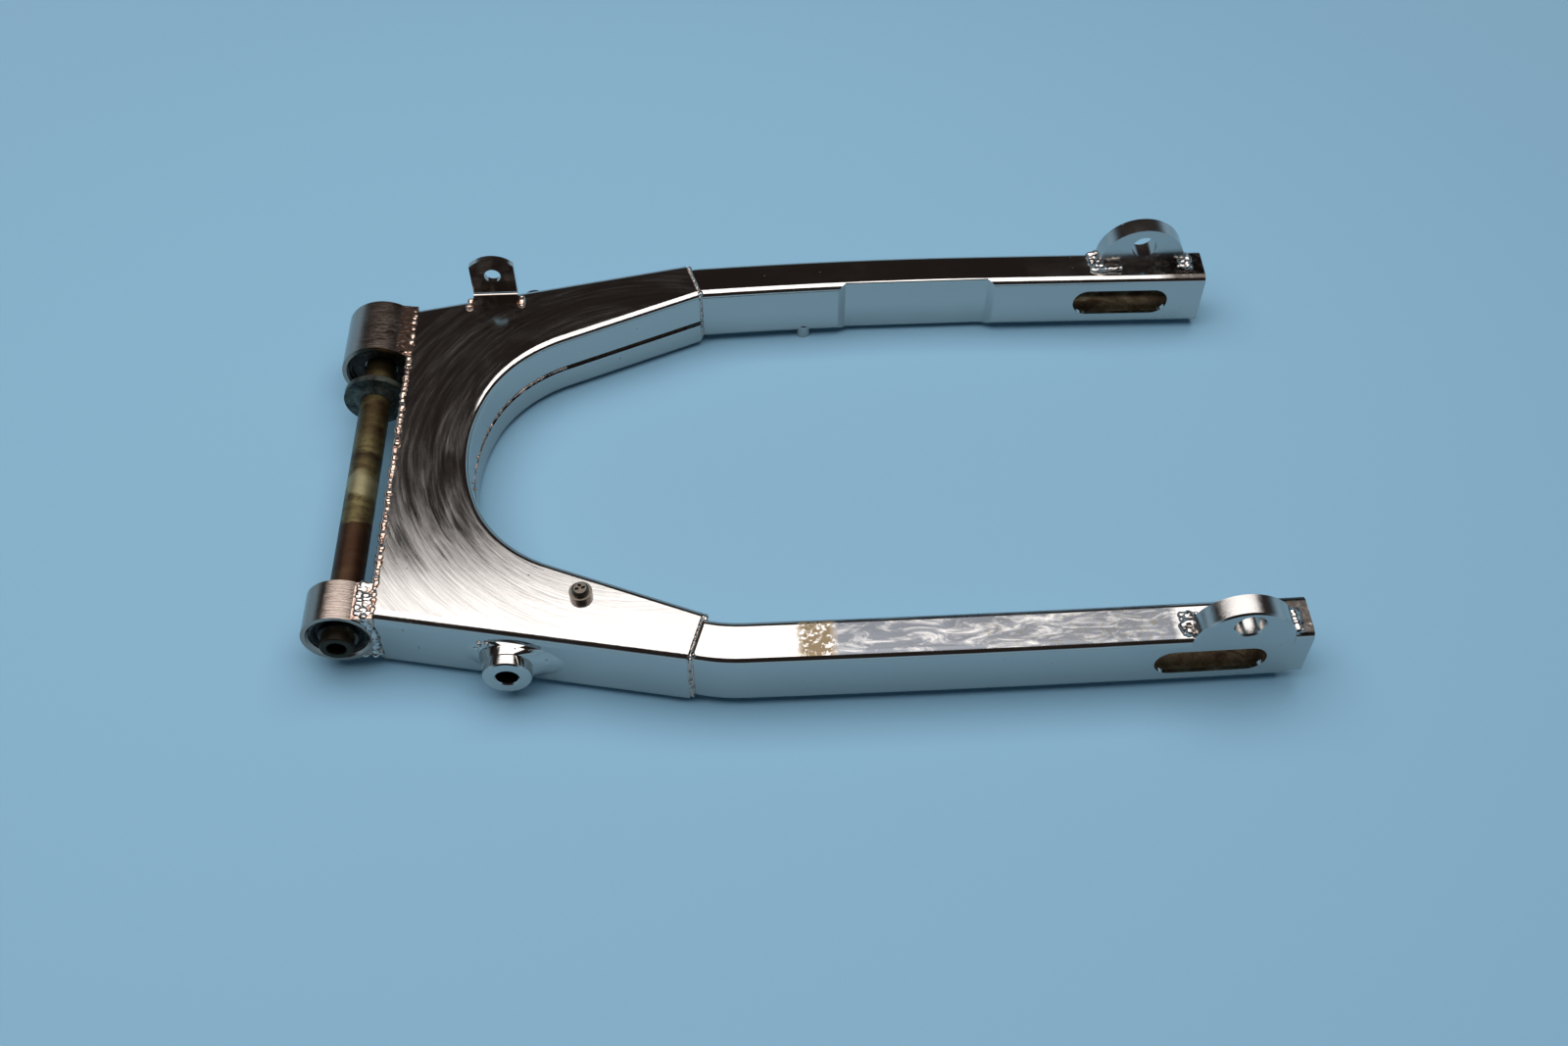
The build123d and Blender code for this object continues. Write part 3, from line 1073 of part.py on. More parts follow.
# Places of the right bearings along the pivot, from the inner mouth outward
SHIELD_Y = RIGHT_HOUSING_Y + SHIELD_DEPTH
CUP_INNER_Y = SHIELD_Y + SHIELD_THICKNESS
LOCK_RING_Y = RIGHT_HOUSING_OUTER_Y - LOCK_RING_DEPTH - LOCK_RING_WIDTH
CUP_OUTER_Y = LOCK_RING_Y - BEARING_WIDTH
CUP_OUT = RIGHT_HOUSING_BORE - PRESS_GAP
RACE_MIDDLE = CUP_OUT - (CUP_THIN + CUP_THICK) / 2
RACE_ANGLE = math.degrees(math.atan2(CUP_THICK - CUP_THIN, BEARING_WIDTH))
APEX_DISTANCE = RACE_MIDDLE / math.tan(math.radians(RACE_ANGLE))
TRACK_MIDDLE = SHAFT_FIT + CONE_WALL
TRACK_ANGLE = math.degrees(math.atan2(TRACK_MIDDLE, APEX_DISTANCE))
ROLLER_TILT = (RACE_ANGLE + TRACK_ANGLE) / 2
ROLLER_TAPER = (RACE_ANGLE - TRACK_ANGLE) / 2
ROLLER_ROOM = (RACE_MIDDLE - TRACK_MIDDLE) * math.cos(math.radians(ROLLER_TILT)) / 2
ROLLER_RADIUS = ROLLER_ROOM - (RACE_CLEARANCE + PRESS_GAP) / 2
ROLLER_RING = (RACE_MIDDLE + TRACK_MIDDLE - RACE_CLEARANCE) / 2
CONE_LENGTH = BEARING_WIDTH - 2 * CONE_AXIAL_GAP
TRACK_LENGTH = CONE_LENGTH - 2 * CONE_RIB_WIDTH
ROLLER_LENGTH = TRACK_LENGTH - 2 * (PRESS_GAP + ROLLER_ROOM * math.sin(math.radians(ROLLER_TILT)))


def track_radius(along):
    """Radius of the cone's track, that far from the bearing's middle towards its apex."""
    return TRACK_MIDDLE - along * math.tan(math.radians(TRACK_ANGLE))


def cup_section(wide_y, way):
    """Section of a cup: thin at its wide end and thick towards the apex."""
    Polyline(
        (CUP_OUT, wide_y),
        (CUP_OUT, wide_y + way * BEARING_WIDTH),
        (CUP_OUT - CUP_THICK, wide_y + way * BEARING_WIDTH),
        (CUP_OUT - CUP_THIN, wide_y),
        close=True,
    )


def cone_section(middle_y, way):
    """Section of a cone: a tapered track between a large rib and a small one."""
    track = TRACK_LENGTH / 2
    Polyline(
        (SHAFT_FIT, middle_y - way * CONE_LENGTH / 2),
        (track_radius(-track) + CONE_RIB_HEIGHT, middle_y - way * CONE_LENGTH / 2),
        (track_radius(-track) + CONE_RIB_HEIGHT, middle_y - way * track),
        (track_radius(-track), middle_y - way * track),
        (track_radius(track), middle_y + way * track),
        (track_radius(track) + CONE_RIB_HEIGHT / 2, middle_y + way * track),
        (track_radius(track) + CONE_RIB_HEIGHT / 2, middle_y + way * CONE_LENGTH / 2),
        (SHAFT_FIT, middle_y + way * CONE_LENGTH / 2),
        close=True,
    )


def roller_plane(middle_y, way):
    """Plane at a roller's wide end, square to its axis."""
    tilt = math.radians(ROLLER_TILT)
    axis = Vector(-math.sin(tilt), way * math.cos(tilt), 0)
    return Plane(Vector(ROLLER_RING, middle_y, 0) - axis * (ROLLER_LENGTH / 2), x_dir=(0, 0, 1), z_dir=axis)


ROLLER_WIDE_RADIUS = ROLLER_RADIUS + math.tan(math.radians(ROLLER_TAPER)) * ROLLER_LENGTH / 2

with BuildPart() as right_cup_inner:
    with BuildSketch():
        with BuildLine():
            cup_section(CUP_INNER_Y, 1)
        make_face()
    revolve(axis=Axis.Y)
right_cup_inner.part.label = "right_cup_inner"
export_step(right_cup_inner.part, "parts/right_cup_inner.step")
with BuildPart() as right_cup_outer:
    with BuildSketch():
        with BuildLine():
            cup_section(CUP_OUTER_Y + BEARING_WIDTH, -1)
        make_face()
    revolve(axis=Axis.Y)
right_cup_outer.part.label = "right_cup_outer"
export_step(right_cup_outer.part, "parts/right_cup_outer.step")
with BuildPart() as right_cone_inner:
    with BuildSketch():
        with BuildLine():
            cone_section(CUP_INNER_Y + BEARING_WIDTH / 2, 1)
        make_face()
    revolve(axis=Axis.Y)
right_cone_inner.part.label = "right_cone_inner"
export_step(right_cone_inner.part, "parts/right_cone_inner.step")
with BuildPart() as right_cone_outer:
    with BuildSketch():
        with BuildLine():
            cone_section(CUP_OUTER_Y + BEARING_WIDTH / 2, -1)
        make_face()
    revolve(axis=Axis.Y)
right_cone_outer.part.label = "right_cone_outer"
export_step(right_cone_outer.part, "parts/right_cone_outer.step")

# One tapered roller of each row, then the whole rows
with BuildPart() as inner_roller:
    with BuildSketch(roller_plane(CUP_INNER_Y + BEARING_WIDTH / 2, 1)):
        RegularPolygon(ROLLER_WIDE_RADIUS, ROLLER_SIDES)
    extrude(amount=ROLLER_LENGTH, taper=ROLLER_TAPER)
with BuildPart() as right_rollers_inner:
    for step in range(ROLLER_COUNT):
        add(inner_roller.part.rotate(Axis.Y, step * 360 / ROLLER_COUNT))
right_rollers_inner.part.label = "right_rollers_inner"
export_step(right_rollers_inner.part, "parts/right_rollers_inner.step")
with BuildPart() as outer_roller:
    with BuildSketch(roller_plane(CUP_OUTER_Y + BEARING_WIDTH / 2, -1)):
        RegularPolygon(ROLLER_WIDE_RADIUS, ROLLER_SIDES)
    extrude(amount=ROLLER_LENGTH, taper=ROLLER_TAPER)
with BuildPart() as right_rollers_outer:
    for step in range(ROLLER_COUNT):
        add(outer_roller.part.rotate(Axis.Y, step * 360 / ROLLER_COUNT))
right_rollers_outer.part.label = "right_rollers_outer"
export_step(right_rollers_outer.part, "parts/right_rollers_outer.step")

# Spacers between the cups and between the cones
with BuildPart() as right_cup_spacer:
    with BuildSketch(Plane((0, CUP_INNER_Y + BEARING_WIDTH, 0), x_dir=(1, 0, 0), z_dir=(0, 1, 0))):
        Circle(CUP_OUT)
        Circle(CUP_OUT - CUP_SPACER_WALL, mode=Mode.SUBTRACT)
    extrude(amount=CUP_OUTER_Y - CUP_INNER_Y - BEARING_WIDTH)
right_cup_spacer.part.label = "right_cup_spacer"
export_step(right_cup_spacer.part, "parts/right_cup_spacer.step")
CONE_SPACER_Y = CUP_INNER_Y + BEARING_WIDTH / 2 + CONE_LENGTH / 2
with BuildPart() as right_cone_spacer:
    with BuildSketch(Plane((0, CONE_SPACER_Y, 0), x_dir=(1, 0, 0), z_dir=(0, 1, 0))):
        Circle(SHAFT_FIT + CONE_SPACER_WALL)
        Circle(SHAFT_FIT, mode=Mode.SUBTRACT)
    extrude(amount=CUP_OUTER_Y + BEARING_WIDTH / 2 - CONE_LENGTH / 2 - CONE_SPACER_Y)
right_cone_spacer.part.label = "right_cone_spacer"
export_step(right_cone_spacer.part, "parts/right_cone_spacer.step")

# Lock ring at the outer mouth, and the dust shield at the inner one
with BuildPart() as right_lock_ring:
    with BuildSketch(Plane((0, LOCK_RING_Y, 0), x_dir=(1, 0, 0), z_dir=(0, 1, 0))):
        Circle(CUP_OUT)
        Circle(CUP_OUT - LOCK_RING_WALL, mode=Mode.SUBTRACT)
    extrude(amount=LOCK_RING_WIDTH)
right_lock_ring.part.label = "right_lock_ring"
export_step(right_lock_ring.part, "parts/right_lock_ring.step")
with BuildPart() as right_dust_shield:
    with BuildSketch():
        with BuildLine():
            Polyline(
                (SHAFT_RADIUS + SHIELD_CLEARANCE, SHIELD_Y),
                (CUP_OUT - SHIELD_RIM, SHIELD_Y),
                (CUP_OUT - SHIELD_RIM, SHIELD_Y - SHIELD_RIM),
                (CUP_OUT, SHIELD_Y - SHIELD_RIM),
                (CUP_OUT, SHIELD_Y + SHIELD_THICKNESS),
                (SHAFT_RADIUS + SHIELD_CLEARANCE, SHIELD_Y + SHIELD_THICKNESS),
                close=True,
            )
        make_face()
    revolve(axis=Axis.Y)
right_dust_shield.part.label = "right_dust_shield"
export_step(right_dust_shield.part, "parts/right_dust_shield.step")
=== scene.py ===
"""Builds the looks of a chrome-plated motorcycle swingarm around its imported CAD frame."""

import json
import logging
import math
import random
from collections.abc import Callable
from dataclasses import dataclass, field
from enum import Enum
from typing import Any

import bpy
from mathutils import Matrix, Vector

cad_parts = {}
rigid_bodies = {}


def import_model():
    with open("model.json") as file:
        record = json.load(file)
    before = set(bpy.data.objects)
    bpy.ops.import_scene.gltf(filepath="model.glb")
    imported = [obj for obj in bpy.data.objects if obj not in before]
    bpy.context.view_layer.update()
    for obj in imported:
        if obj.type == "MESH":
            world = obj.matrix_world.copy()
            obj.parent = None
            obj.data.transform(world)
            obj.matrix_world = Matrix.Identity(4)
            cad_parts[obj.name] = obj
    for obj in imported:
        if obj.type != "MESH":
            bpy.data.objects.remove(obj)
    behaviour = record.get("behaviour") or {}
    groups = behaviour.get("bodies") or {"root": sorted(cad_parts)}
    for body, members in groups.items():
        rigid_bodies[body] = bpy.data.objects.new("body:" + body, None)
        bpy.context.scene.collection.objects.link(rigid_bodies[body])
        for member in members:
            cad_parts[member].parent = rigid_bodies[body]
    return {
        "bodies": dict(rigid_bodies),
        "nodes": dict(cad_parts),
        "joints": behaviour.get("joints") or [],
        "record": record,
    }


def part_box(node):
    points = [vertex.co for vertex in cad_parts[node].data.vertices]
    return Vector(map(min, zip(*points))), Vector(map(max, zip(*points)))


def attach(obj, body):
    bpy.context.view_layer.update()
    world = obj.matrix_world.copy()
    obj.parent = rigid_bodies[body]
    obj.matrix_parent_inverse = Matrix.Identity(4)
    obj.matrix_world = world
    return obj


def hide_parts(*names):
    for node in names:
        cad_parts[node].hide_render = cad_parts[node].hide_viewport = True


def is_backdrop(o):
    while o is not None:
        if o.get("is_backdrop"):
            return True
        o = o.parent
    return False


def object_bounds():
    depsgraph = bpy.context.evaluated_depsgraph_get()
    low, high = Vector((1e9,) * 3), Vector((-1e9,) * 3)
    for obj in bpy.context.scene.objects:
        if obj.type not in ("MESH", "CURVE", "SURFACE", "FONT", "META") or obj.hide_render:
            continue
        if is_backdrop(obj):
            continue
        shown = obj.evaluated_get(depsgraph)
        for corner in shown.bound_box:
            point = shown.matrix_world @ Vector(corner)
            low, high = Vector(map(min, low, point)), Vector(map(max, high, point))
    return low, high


LOG = logging.getLogger("scene")
MM = 0.001

Piece = bpy.types.Object
Triple = tuple[float, float, float]


class Side(Enum):
    """Side of the motorcycle, as the sign of Y."""

    LEFT = -1
    RIGHT = 1

    @property
    def word(self) -> str:
        """The side's name in small letters."""
        return self.name.lower()


class Spread(Enum):
    """Where a chrome surface carries its pits and haze."""

    EVEN = "even"
    TAIL = "tail"
    CURVE = "curve"


def linear(code: str) -> tuple[float, float, float, float]:
    """Turns an sRGB hex code into linear colour.

    Args:
        code: Six hex digits after a hash.

    Returns:
        Red, green, blue and an alpha of one.
    """
    values = [int(code[i:i + 2], 16) / 255 for i in (1, 3, 5)]
    red, green, blue = [v / 12.92 if v <= 0.04045 else ((v + 0.055) / 1.055) ** 2.4 for v in values]
    return red, green, blue, 1.0


def add_node(
    tree: bpy.types.NodeTree,
    kind: str,
    settings: dict[Any, Any],
    links: dict[Any, Any],
    output: int | str = 0,
) -> bpy.types.NodeSocket:
    """Adds one shader node, sets it and links its inputs.

    Args:
        tree: Node tree that takes the node.
        kind: Blender's name for the node type, without ShaderNode, and with its operation after a dot.
        settings: Attributes by name, and input values by socket name or index.
        links: Output sockets by the name or index of the input that they feed.
        output: Name or index of the output that is wanted.

    Returns:
        That output of the new node.
    """
    kind, _, operation = kind.partition(".")
    node = tree.nodes.new("ShaderNode" + kind)
    if operation:
        node.operation = operation
    for key, value in settings.items():
        if isinstance(key, str) and hasattr(node, key):
            setattr(node, key, value)
        else:
            node.inputs[key].default_value = value
    for key, socket in links.items():
        tree.links.new(socket, node.inputs[key])
    return node.outputs[output]


class Look:
    """A material under way, with the colour and the roughness that it has so far."""

    def __init__(self, name: str, metallic: float, roughness: float) -> None:
        """Makes the material with one Principled shader.

        Args:
            name: Name of the material.
            metallic: Metallic value of the shader.
            roughness: Roughness where no pattern drives it.
        """
        self.material = bpy.data.materials.new(name)
        self.material.use_nodes = True
        self.tree = self.material.node_tree
        self.shader = self.tree.nodes["Principled BSDF"]
        self.shader.inputs["Metallic"].default_value = metallic
        self.shader.inputs["Roughness"].default_value = roughness
        self.place = self.add("TexCoord", {}, {}, "Object")
        self.x, self.y, self.z = self.add("SeparateXYZ", {}, {0: self.place}).node.outputs
        self.tone: Any = None
        self.roughness: Any = None

    def add(
        self, kind: str, settings: dict[Any, Any], links: dict[Any, Any], output: int | str = 0
    ) -> bpy.types.NodeSocket:
        """Adds a node to this material, as add_node does."""
        return add_node(self.tree, kind, settings, links, output)

    def cloud(
        self, place: Any, size_mm: tuple[float, ...], detail: float, rough: float, bend: float = 0.0
    ) -> Any:
        """Draws a cloudy pattern that is stretched to a real size.

        Args:
            place: Socket with the position in metres.
            size_mm: Size of the clouds along each axis.
            detail: Octaves of finer clouds.
            rough: Strength of the finer clouds.
            bend: Distortion of the pattern.

        Returns:
            Socket with the pattern, mostly from 0.3 to 0.7.
        """
        drawn = self.add("Mapping", {"Scale": tuple(1000 / size for size in size_mm)}, {"Vector": place})
        shape = {"Scale": 1.0, "Detail": detail, "Roughness": rough, "Distortion": bend}
        return self.add("TexNoise", shape, {"Vector": drawn})

    def finish(self, normal: Any) -> bpy.types.Material:
        """Links the colour, the roughness and the relief to the shader.

        Args:
            normal: Socket with the relief's normal.

        Returns:
            The finished material.
        """
        for name, socket in (("Base Color", self.tone), ("Roughness", self.roughness), ("Normal", normal)):
            self.tree.links.new(socket, self.shader.inputs[name])
        return self.material


@dataclass(frozen=True)
class ChromePlate:
    """Bright chrome plate over buffed steel.

    It gives the eye a sharp, faintly warm mirror that hand buffing breaks into smoky haze, fine
    lines and a few pits.
    """

    name: str
    tint: str = "#c0bbb7"
    stain: str = "#5b4a40"
    smooth: float = 0.035
    haze: float = 0.16
    haze_mm: Triple = (70.0, 70.0, 70.0)
    line_mm: Triple = (60.0, 1.2, 1.2)
    line_depth_mm: float = 0.004
    line_grip: float = 0.05
    pit_spacing_mm: float = 6.0
    pit_share: float = 0.12
    pit_grip: float = 0.45
    pit_depth: float = 6.0
    wave_mm: Triple = (45.0, 45.0, 45.0)
    wave_depth_mm: float = 0.03
    spread: Spread = Spread.EVEN
    curve_centre_mm: Triple = (165.0, 0.0, 0.0)
    curve_radius_mm: float = 110.0
    pitted_mm: tuple[float, float] = (430.0, 500.0)
    worn_mm: tuple[float, float] = (462.0, 500.0)
    dull_mm: tuple[float, float] = (484.0, 496.0)
    worn_top_mm: float = 13.2
    glue_top_mm: float = 14.0
    residue: bool = False
    bore_mm: Triple | None = None

    def build(self) -> bpy.types.Material:
        """Makes the material and returns it."""
        look = Look(self.name, 1.0, self.smooth)
        flow = self._flow(look)
        haze = look.cloud(flow, self.haze_mm, 7.0, 0.66, 0.8)
        haze = look.add("MapRange", {"From Min": 0.40, "From Max": 0.74}, {"Value": haze})
        # Real buffing lines are a few hundredths of a millimetre apart, so they are drawn coarser to show
        lines = look.cloud(flow, self.line_mm, 4.0, 0.7)
        lines = look.add("MapRange", {"From Min": 0.38, "From Max": 0.72}, {"Value": lines})
        pits = self._pits(look)
        rough = look.add("Math.MULTIPLY_ADD", {1: self.haze, 2: self.smooth}, {0: haze})
        rough = look.add("Math.MULTIPLY_ADD", {1: self.line_grip}, {0: lines, 2: rough})
        rough = look.add("Math.MULTIPLY_ADD", {1: self.pit_grip}, {0: pits, 2: rough})
        look.roughness = rough
        tones = {"data_type": "RGBA", 6: linear(self.tint), 7: linear(self.stain)}
        look.tone = look.add("Mix", tones, {0: pits}, 2)
        if self.spread is Spread.TAIL:
            self._tail_wear(look)
        if self.residue:
            self._residue(look)
        if self.bore_mm:
            self._bare_bore(look)
        relief = look.add("Math.MULTIPLY_ADD", {1: -self.pit_depth}, {0: pits, 2: lines})
        fine = look.add("Bump", {"Distance": self.line_depth_mm * MM}, {"Height": relief})
        swell = look.cloud(flow, self.wave_mm, 2.0, 0.45)
        waves = {"Distance": self.wave_depth_mm * MM}
        return look.finish(look.add("Bump", waves, {"Height": swell, "Normal": fine}))

    def _flow(self, look: Look) -> Any:
        """Turns the position so that its first axis follows the buffing wheel.

        Args:
            look: Material under way.

        Returns:
            Socket with the position, or with the way round the curve, its radius and the height.
        """
        if self.spread is not Spread.CURVE:
            return look.place
        centre = Vector(self.curve_centre_mm) * MM
        arm = look.add("VectorMath.SUBTRACT", {1: centre}, {0: look.place})
        flat = look.add("VectorMath.MULTIPLY", {1: (1, 1, 0)}, {0: arm})
        reach = look.add("VectorMath.LENGTH", {}, {0: flat}, "Value")
        along, across, _ = look.add("SeparateXYZ", {}, {0: flat}).node.outputs
        # The angle is taken about -X, so that its jump lies in the wheel's gap
        back = look.add("Math.MULTIPLY", {1: -1.0}, {0: along})
        turn = look.add("Math.ARCTAN2", {}, {0: across, 1: back})
        turn = look.add("Math.MULTIPLY", {1: self.curve_radius_mm * MM}, {0: turn})
        return look.add("CombineXYZ", {}, {0: turn, 1: reach, 2: look.z})

    def _pits(self, look: Look) -> Any:
        """Draws the small pits where the plate has failed.

        Args:
            look: Material under way.

        Returns:
            Socket with the pits from 0 to 1.
        """
        spacing = {"Scale": 1000 / self.pit_spacing_mm}
        cells = look.add("TexVoronoi", spacing, {"Vector": look.place}, "Color")
        grey = look.add("SeparateColor", {}, {0: cells})
        if self.spread is Spread.TAIL:
            start, end = (along * MM for along in self.pitted_mm)
            rise = {"From Min": start, "From Max": end, "To Max": 0.62}
            tail = look.add("MapRange", rise, {"Value": look.x})
            limit = look.add("Math.ADD", {1: self.pit_share}, {0: tail})
            share = look.add("Math.LESS_THAN", {}, {0: grey, 1: limit})
        else:
            share = look.add("Math.LESS_THAN", {1: self.pit_share}, {0: grey})
        away = cells.node.outputs["Distance"]
        dot = look.add("MapRange", {"From Min": 0.10, "From Max": 0.05}, {"Value": away})
        return look.add("Math.MULTIPLY", {}, {0: dot, 1: share})

    def _bare_bore(self, look: Look) -> None:
        """Darkens and roughens the inside of a hole along Y on the left side.

        Args:
            look: Material under way.
        """
        along, height, radius = self.bore_mm
        centre = (along * MM, 0.0, height * MM)
        away = look.add("VectorMath.SUBTRACT", {1: centre}, {0: look.place})
        away = look.add("VectorMath.MULTIPLY", {1: (1, 0, 1)}, {0: away})
        reach = look.add("VectorMath.LENGTH", {}, {0: away}, "Value")
        inside = look.add("Math.LESS_THAN", {1: radius * MM}, {0: reach})
        left = look.add("Math.LESS_THAN", {1: 0.0}, {0: look.y})
        inside = look.add("Math.MULTIPLY", {}, {0: inside, 1: left})
        bore_dark = {"data_type": "RGBA", 7: linear("#2a2420")}
        look.tone = look.add("Mix", bore_dark, {0: inside, 6: look.tone}, 2)
        look.roughness = look.add("Math.MULTIPLY_ADD", {1: 0.4}, {0: inside, 2: look.roughness})

    def _tail_wear(self, look: Look) -> None:
        """Roughens and darkens the top of the plate towards the arm's end, which was left unpolished.

        Args:
            look: Material under way.
        """
        shape = {"Scale": 210.0, "Detail": 6.0, "Roughness": 0.72}
        blotch = look.add("TexNoise", shape, {"Vector": look.place})
        start, end = (along * MM for along in self.worn_mm)
        tail = look.add("MapRange", {"From Min": start, "From Max": end}, {"Value": look.x})
        top = look.add("Math.GREATER_THAN", {1: self.worn_top_mm * MM}, {0: look.z})
        tail = look.add("Math.MULTIPLY", {}, {0: tail, 1: top})
        gritty = {"From Min": 0.4, "From Max": 0.65, "To Min": 0.02, "To Max": 0.30}
        grit = look.add("MapRange", gritty, {"Value": blotch})
        worn = {0: tail, 1: grit, 2: look.roughness}
        look.roughness = look.add("Math.MULTIPLY_ADD", {}, worn)
        start, end = (along * MM for along in self.dull_mm)
        mask = look.add("MapRange", {"From Min": start, "From Max": end, "To Max": 0.92}, {"Value": look.x})
        dull = look.add("MapRange", {"From Min": 0.30, "From Max": 0.44}, {"Value": blotch})
        for part in (top, dull):
            mask = look.add("Math.MULTIPLY", {}, {0: mask, 1: part})
        dark = {"data_type": "RGBA", 7: linear("#3a322d")}
        look.tone = look.add("Mix", dark, {0: mask, 6: look.tone}, 2)

    def _residue(self, look: Look) -> None:
        """Adds the glue of old labels on the top of the left arm.

        Args:
            look: Material under way.
        """
        shape = {"Scale": 330.0, "Detail": 6.0, "Roughness": 0.72}
        ragged = look.add("TexNoise", shape, {"Vector": look.place})
        smear = look.cloud(look.place, (22.0, 7.0, 9.0), 7.0, 0.7, 1.0)
        top = look.add("Math.GREATER_THAN", {1: self.glue_top_mm * MM}, {0: look.z})
        # Patches on the top face: crackled tan glue, thin grey smears behind it, yellow film before the lug
        for start, end, shade, pattern, cover, soft, grit in (
            (243.0, 266.0, "#8f7548", ragged, 0.42, 0.06, 0.55),
            (262.0, 446.0, "#4a525e", smear, 0.28, 0.24, 0.16),
            (340.0, 447.0, "#7d7148", ragged, 0.53, 0.22, 0.12),
        ):
            rise = {"From Min": start * MM, "From Max": (start + 4) * MM}
            mask = look.add("MapRange", rise, {"Value": look.x})
            drop = {"From Min": end * MM, "From Max": (end - 5) * MM}
            fall = look.add("MapRange", drop, {"Value": look.x})
            flake = look.add("MapRange", {"From Min": cover, "From Max": cover + soft}, {"Value": pattern})
            for part in (fall, top, flake):
                mask = look.add("Math.MULTIPLY", {}, {0: mask, 1: part})
            thin = look.add("Math.MULTIPLY", {1: 0.8}, {0: mask})
            look.tone = look.add("Mix", {"data_type": "RGBA", 7: linear(shade)}, {0: thin, 6: look.tone}, 2)
            look.roughness = look.add(
                "Math.MULTIPLY_ADD", {1: grit}, {0: mask, 2: look.roughness}
            )


@dataclass(frozen=True)
class WornSteel:
    """Bare or painted steel in two tones, which gives the eye patchy rust, grease and dull wear."""

    name: str
    base: str
    patch: str
    deep: str
    metallic: float = 0.6
    roughness: float = 0.5
    patch_mm: Triple = (9.0, 9.0, 9.0)
    grain_mm: float = 1.4
    relief_mm: float = 0.05
    bands: tuple[tuple[float, float, str, float], ...] = ()
    fray_mm: float = 24.0

    def build(self) -> bpy.types.Material:
        """Makes the material and returns it."""
        look = Look(self.name, self.metallic, self.roughness)
        cloud = look.cloud(look.place, self.patch_mm, 5.0, 0.6, 0.6)
        fine = {"Scale": 1000 / self.grain_mm, "Detail": 4.0, "Roughness": 0.65}
        grain = look.add("TexNoise", fine, {"Vector": look.place})
        look.tone = look.add("ValToRGB", {}, {0: cloud})
        stops = look.tone.node.color_ramp.elements
        stops[0].position, stops[0].color = 0.34, linear(self.deep)
        stops[1].position, stops[1].color = 0.66, linear(self.patch)
        stops.new(0.5).color = linear(self.base)
        speck = look.add("MapRange", {"From Min": 0.52, "From Max": 0.7, "To Max": 0.7}, {"Value": grain})
        look.tone = look.add("Mix", {"data_type": "RGBA", 7: linear(self.deep)}, {0: speck, 6: look.tone}, 2)
        if self.bands:
            self._band(look, cloud)
        gloss = {"To Min": self.roughness - 0.12, "To Max": min(1.0, self.roughness + 0.2)}
        look.roughness = look.add("MapRange", gloss, {"Value": grain})
        return look.finish(look.add("Bump", {"Distance": self.relief_mm * MM}, {"Height": grain}))

    def _band(self, look: Look, cloud: Any) -> None:
        """Lays bands of rust, grease or bare metal round a tube that runs along Y.

        Args:
            look: Material under way.
            cloud: Socket with the noise that frays the bands' edges.
        """
        frayed = look.add(
            "Math.MULTIPLY_ADD", {1: self.fray_mm * MM}, {0: cloud, 2: look.y}
        )
        for low, high, shade, share in self.bands:
            middle, half = (low + high + self.fray_mm) / 2, (high - low) / 2
            away = look.add("Math.SUBTRACT", {1: middle * MM}, {0: frayed})
            away = look.add("Math.ABSOLUTE", {}, {0: away})
            edge = {"From Min": (half + 2) * MM, "From Max": (half - 2) * MM, "To Max": share}
            mask = look.add("MapRange", edge, {"Value": away})
            look.tone = look.add("Mix", {"data_type": "RGBA", 7: linear(shade)}, {0: mask, 6: look.tone}, 2)


@dataclass(frozen=True)
class PlatedWeld:
    """Chrome over weld metal, which gives the eye coppery, glinting lumps with painted shade in the hollows
    between them.
    """

    name: str
    tint: str = "#d9b9a8"
    shadow: str = "#6a4a3c"
    roughness: float = 0.13
    lump_mm: float = 1.6
    relief_mm: float = 0.18

    def build(self) -> bpy.types.Material:
        """Makes the material and returns it."""
        look = Look(self.name, 1.0, self.roughness)
        shape = {"Scale": 1000 / self.lump_mm / 2, "Detail": 3.0, "Roughness": 0.55, "Distortion": 0.8}
        lumps = look.add("TexNoise", shape, {"Vector": look.place})
        # Painted shade: where the lumps' pattern is low, and so sunk in the bump, the colour turns to the
        # shadow colour.
        dark = look.add("MapRange", {"From Min": 0.5, "From Max": 0.3}, {"Value": lumps})
        tones = {"data_type": "RGBA", 6: linear(self.tint), 7: linear(self.shadow)}
        look.tone = look.add("Mix", tones, {0: dark}, 2)
        gloss = {"To Min": self.roughness + 0.14, "To Max": self.roughness - 0.04}
        look.roughness = look.add("MapRange", gloss, {"Value": lumps})
        return look.finish(look.add("Bump", {"Distance": self.relief_mm * MM}, {"Height": lumps}))


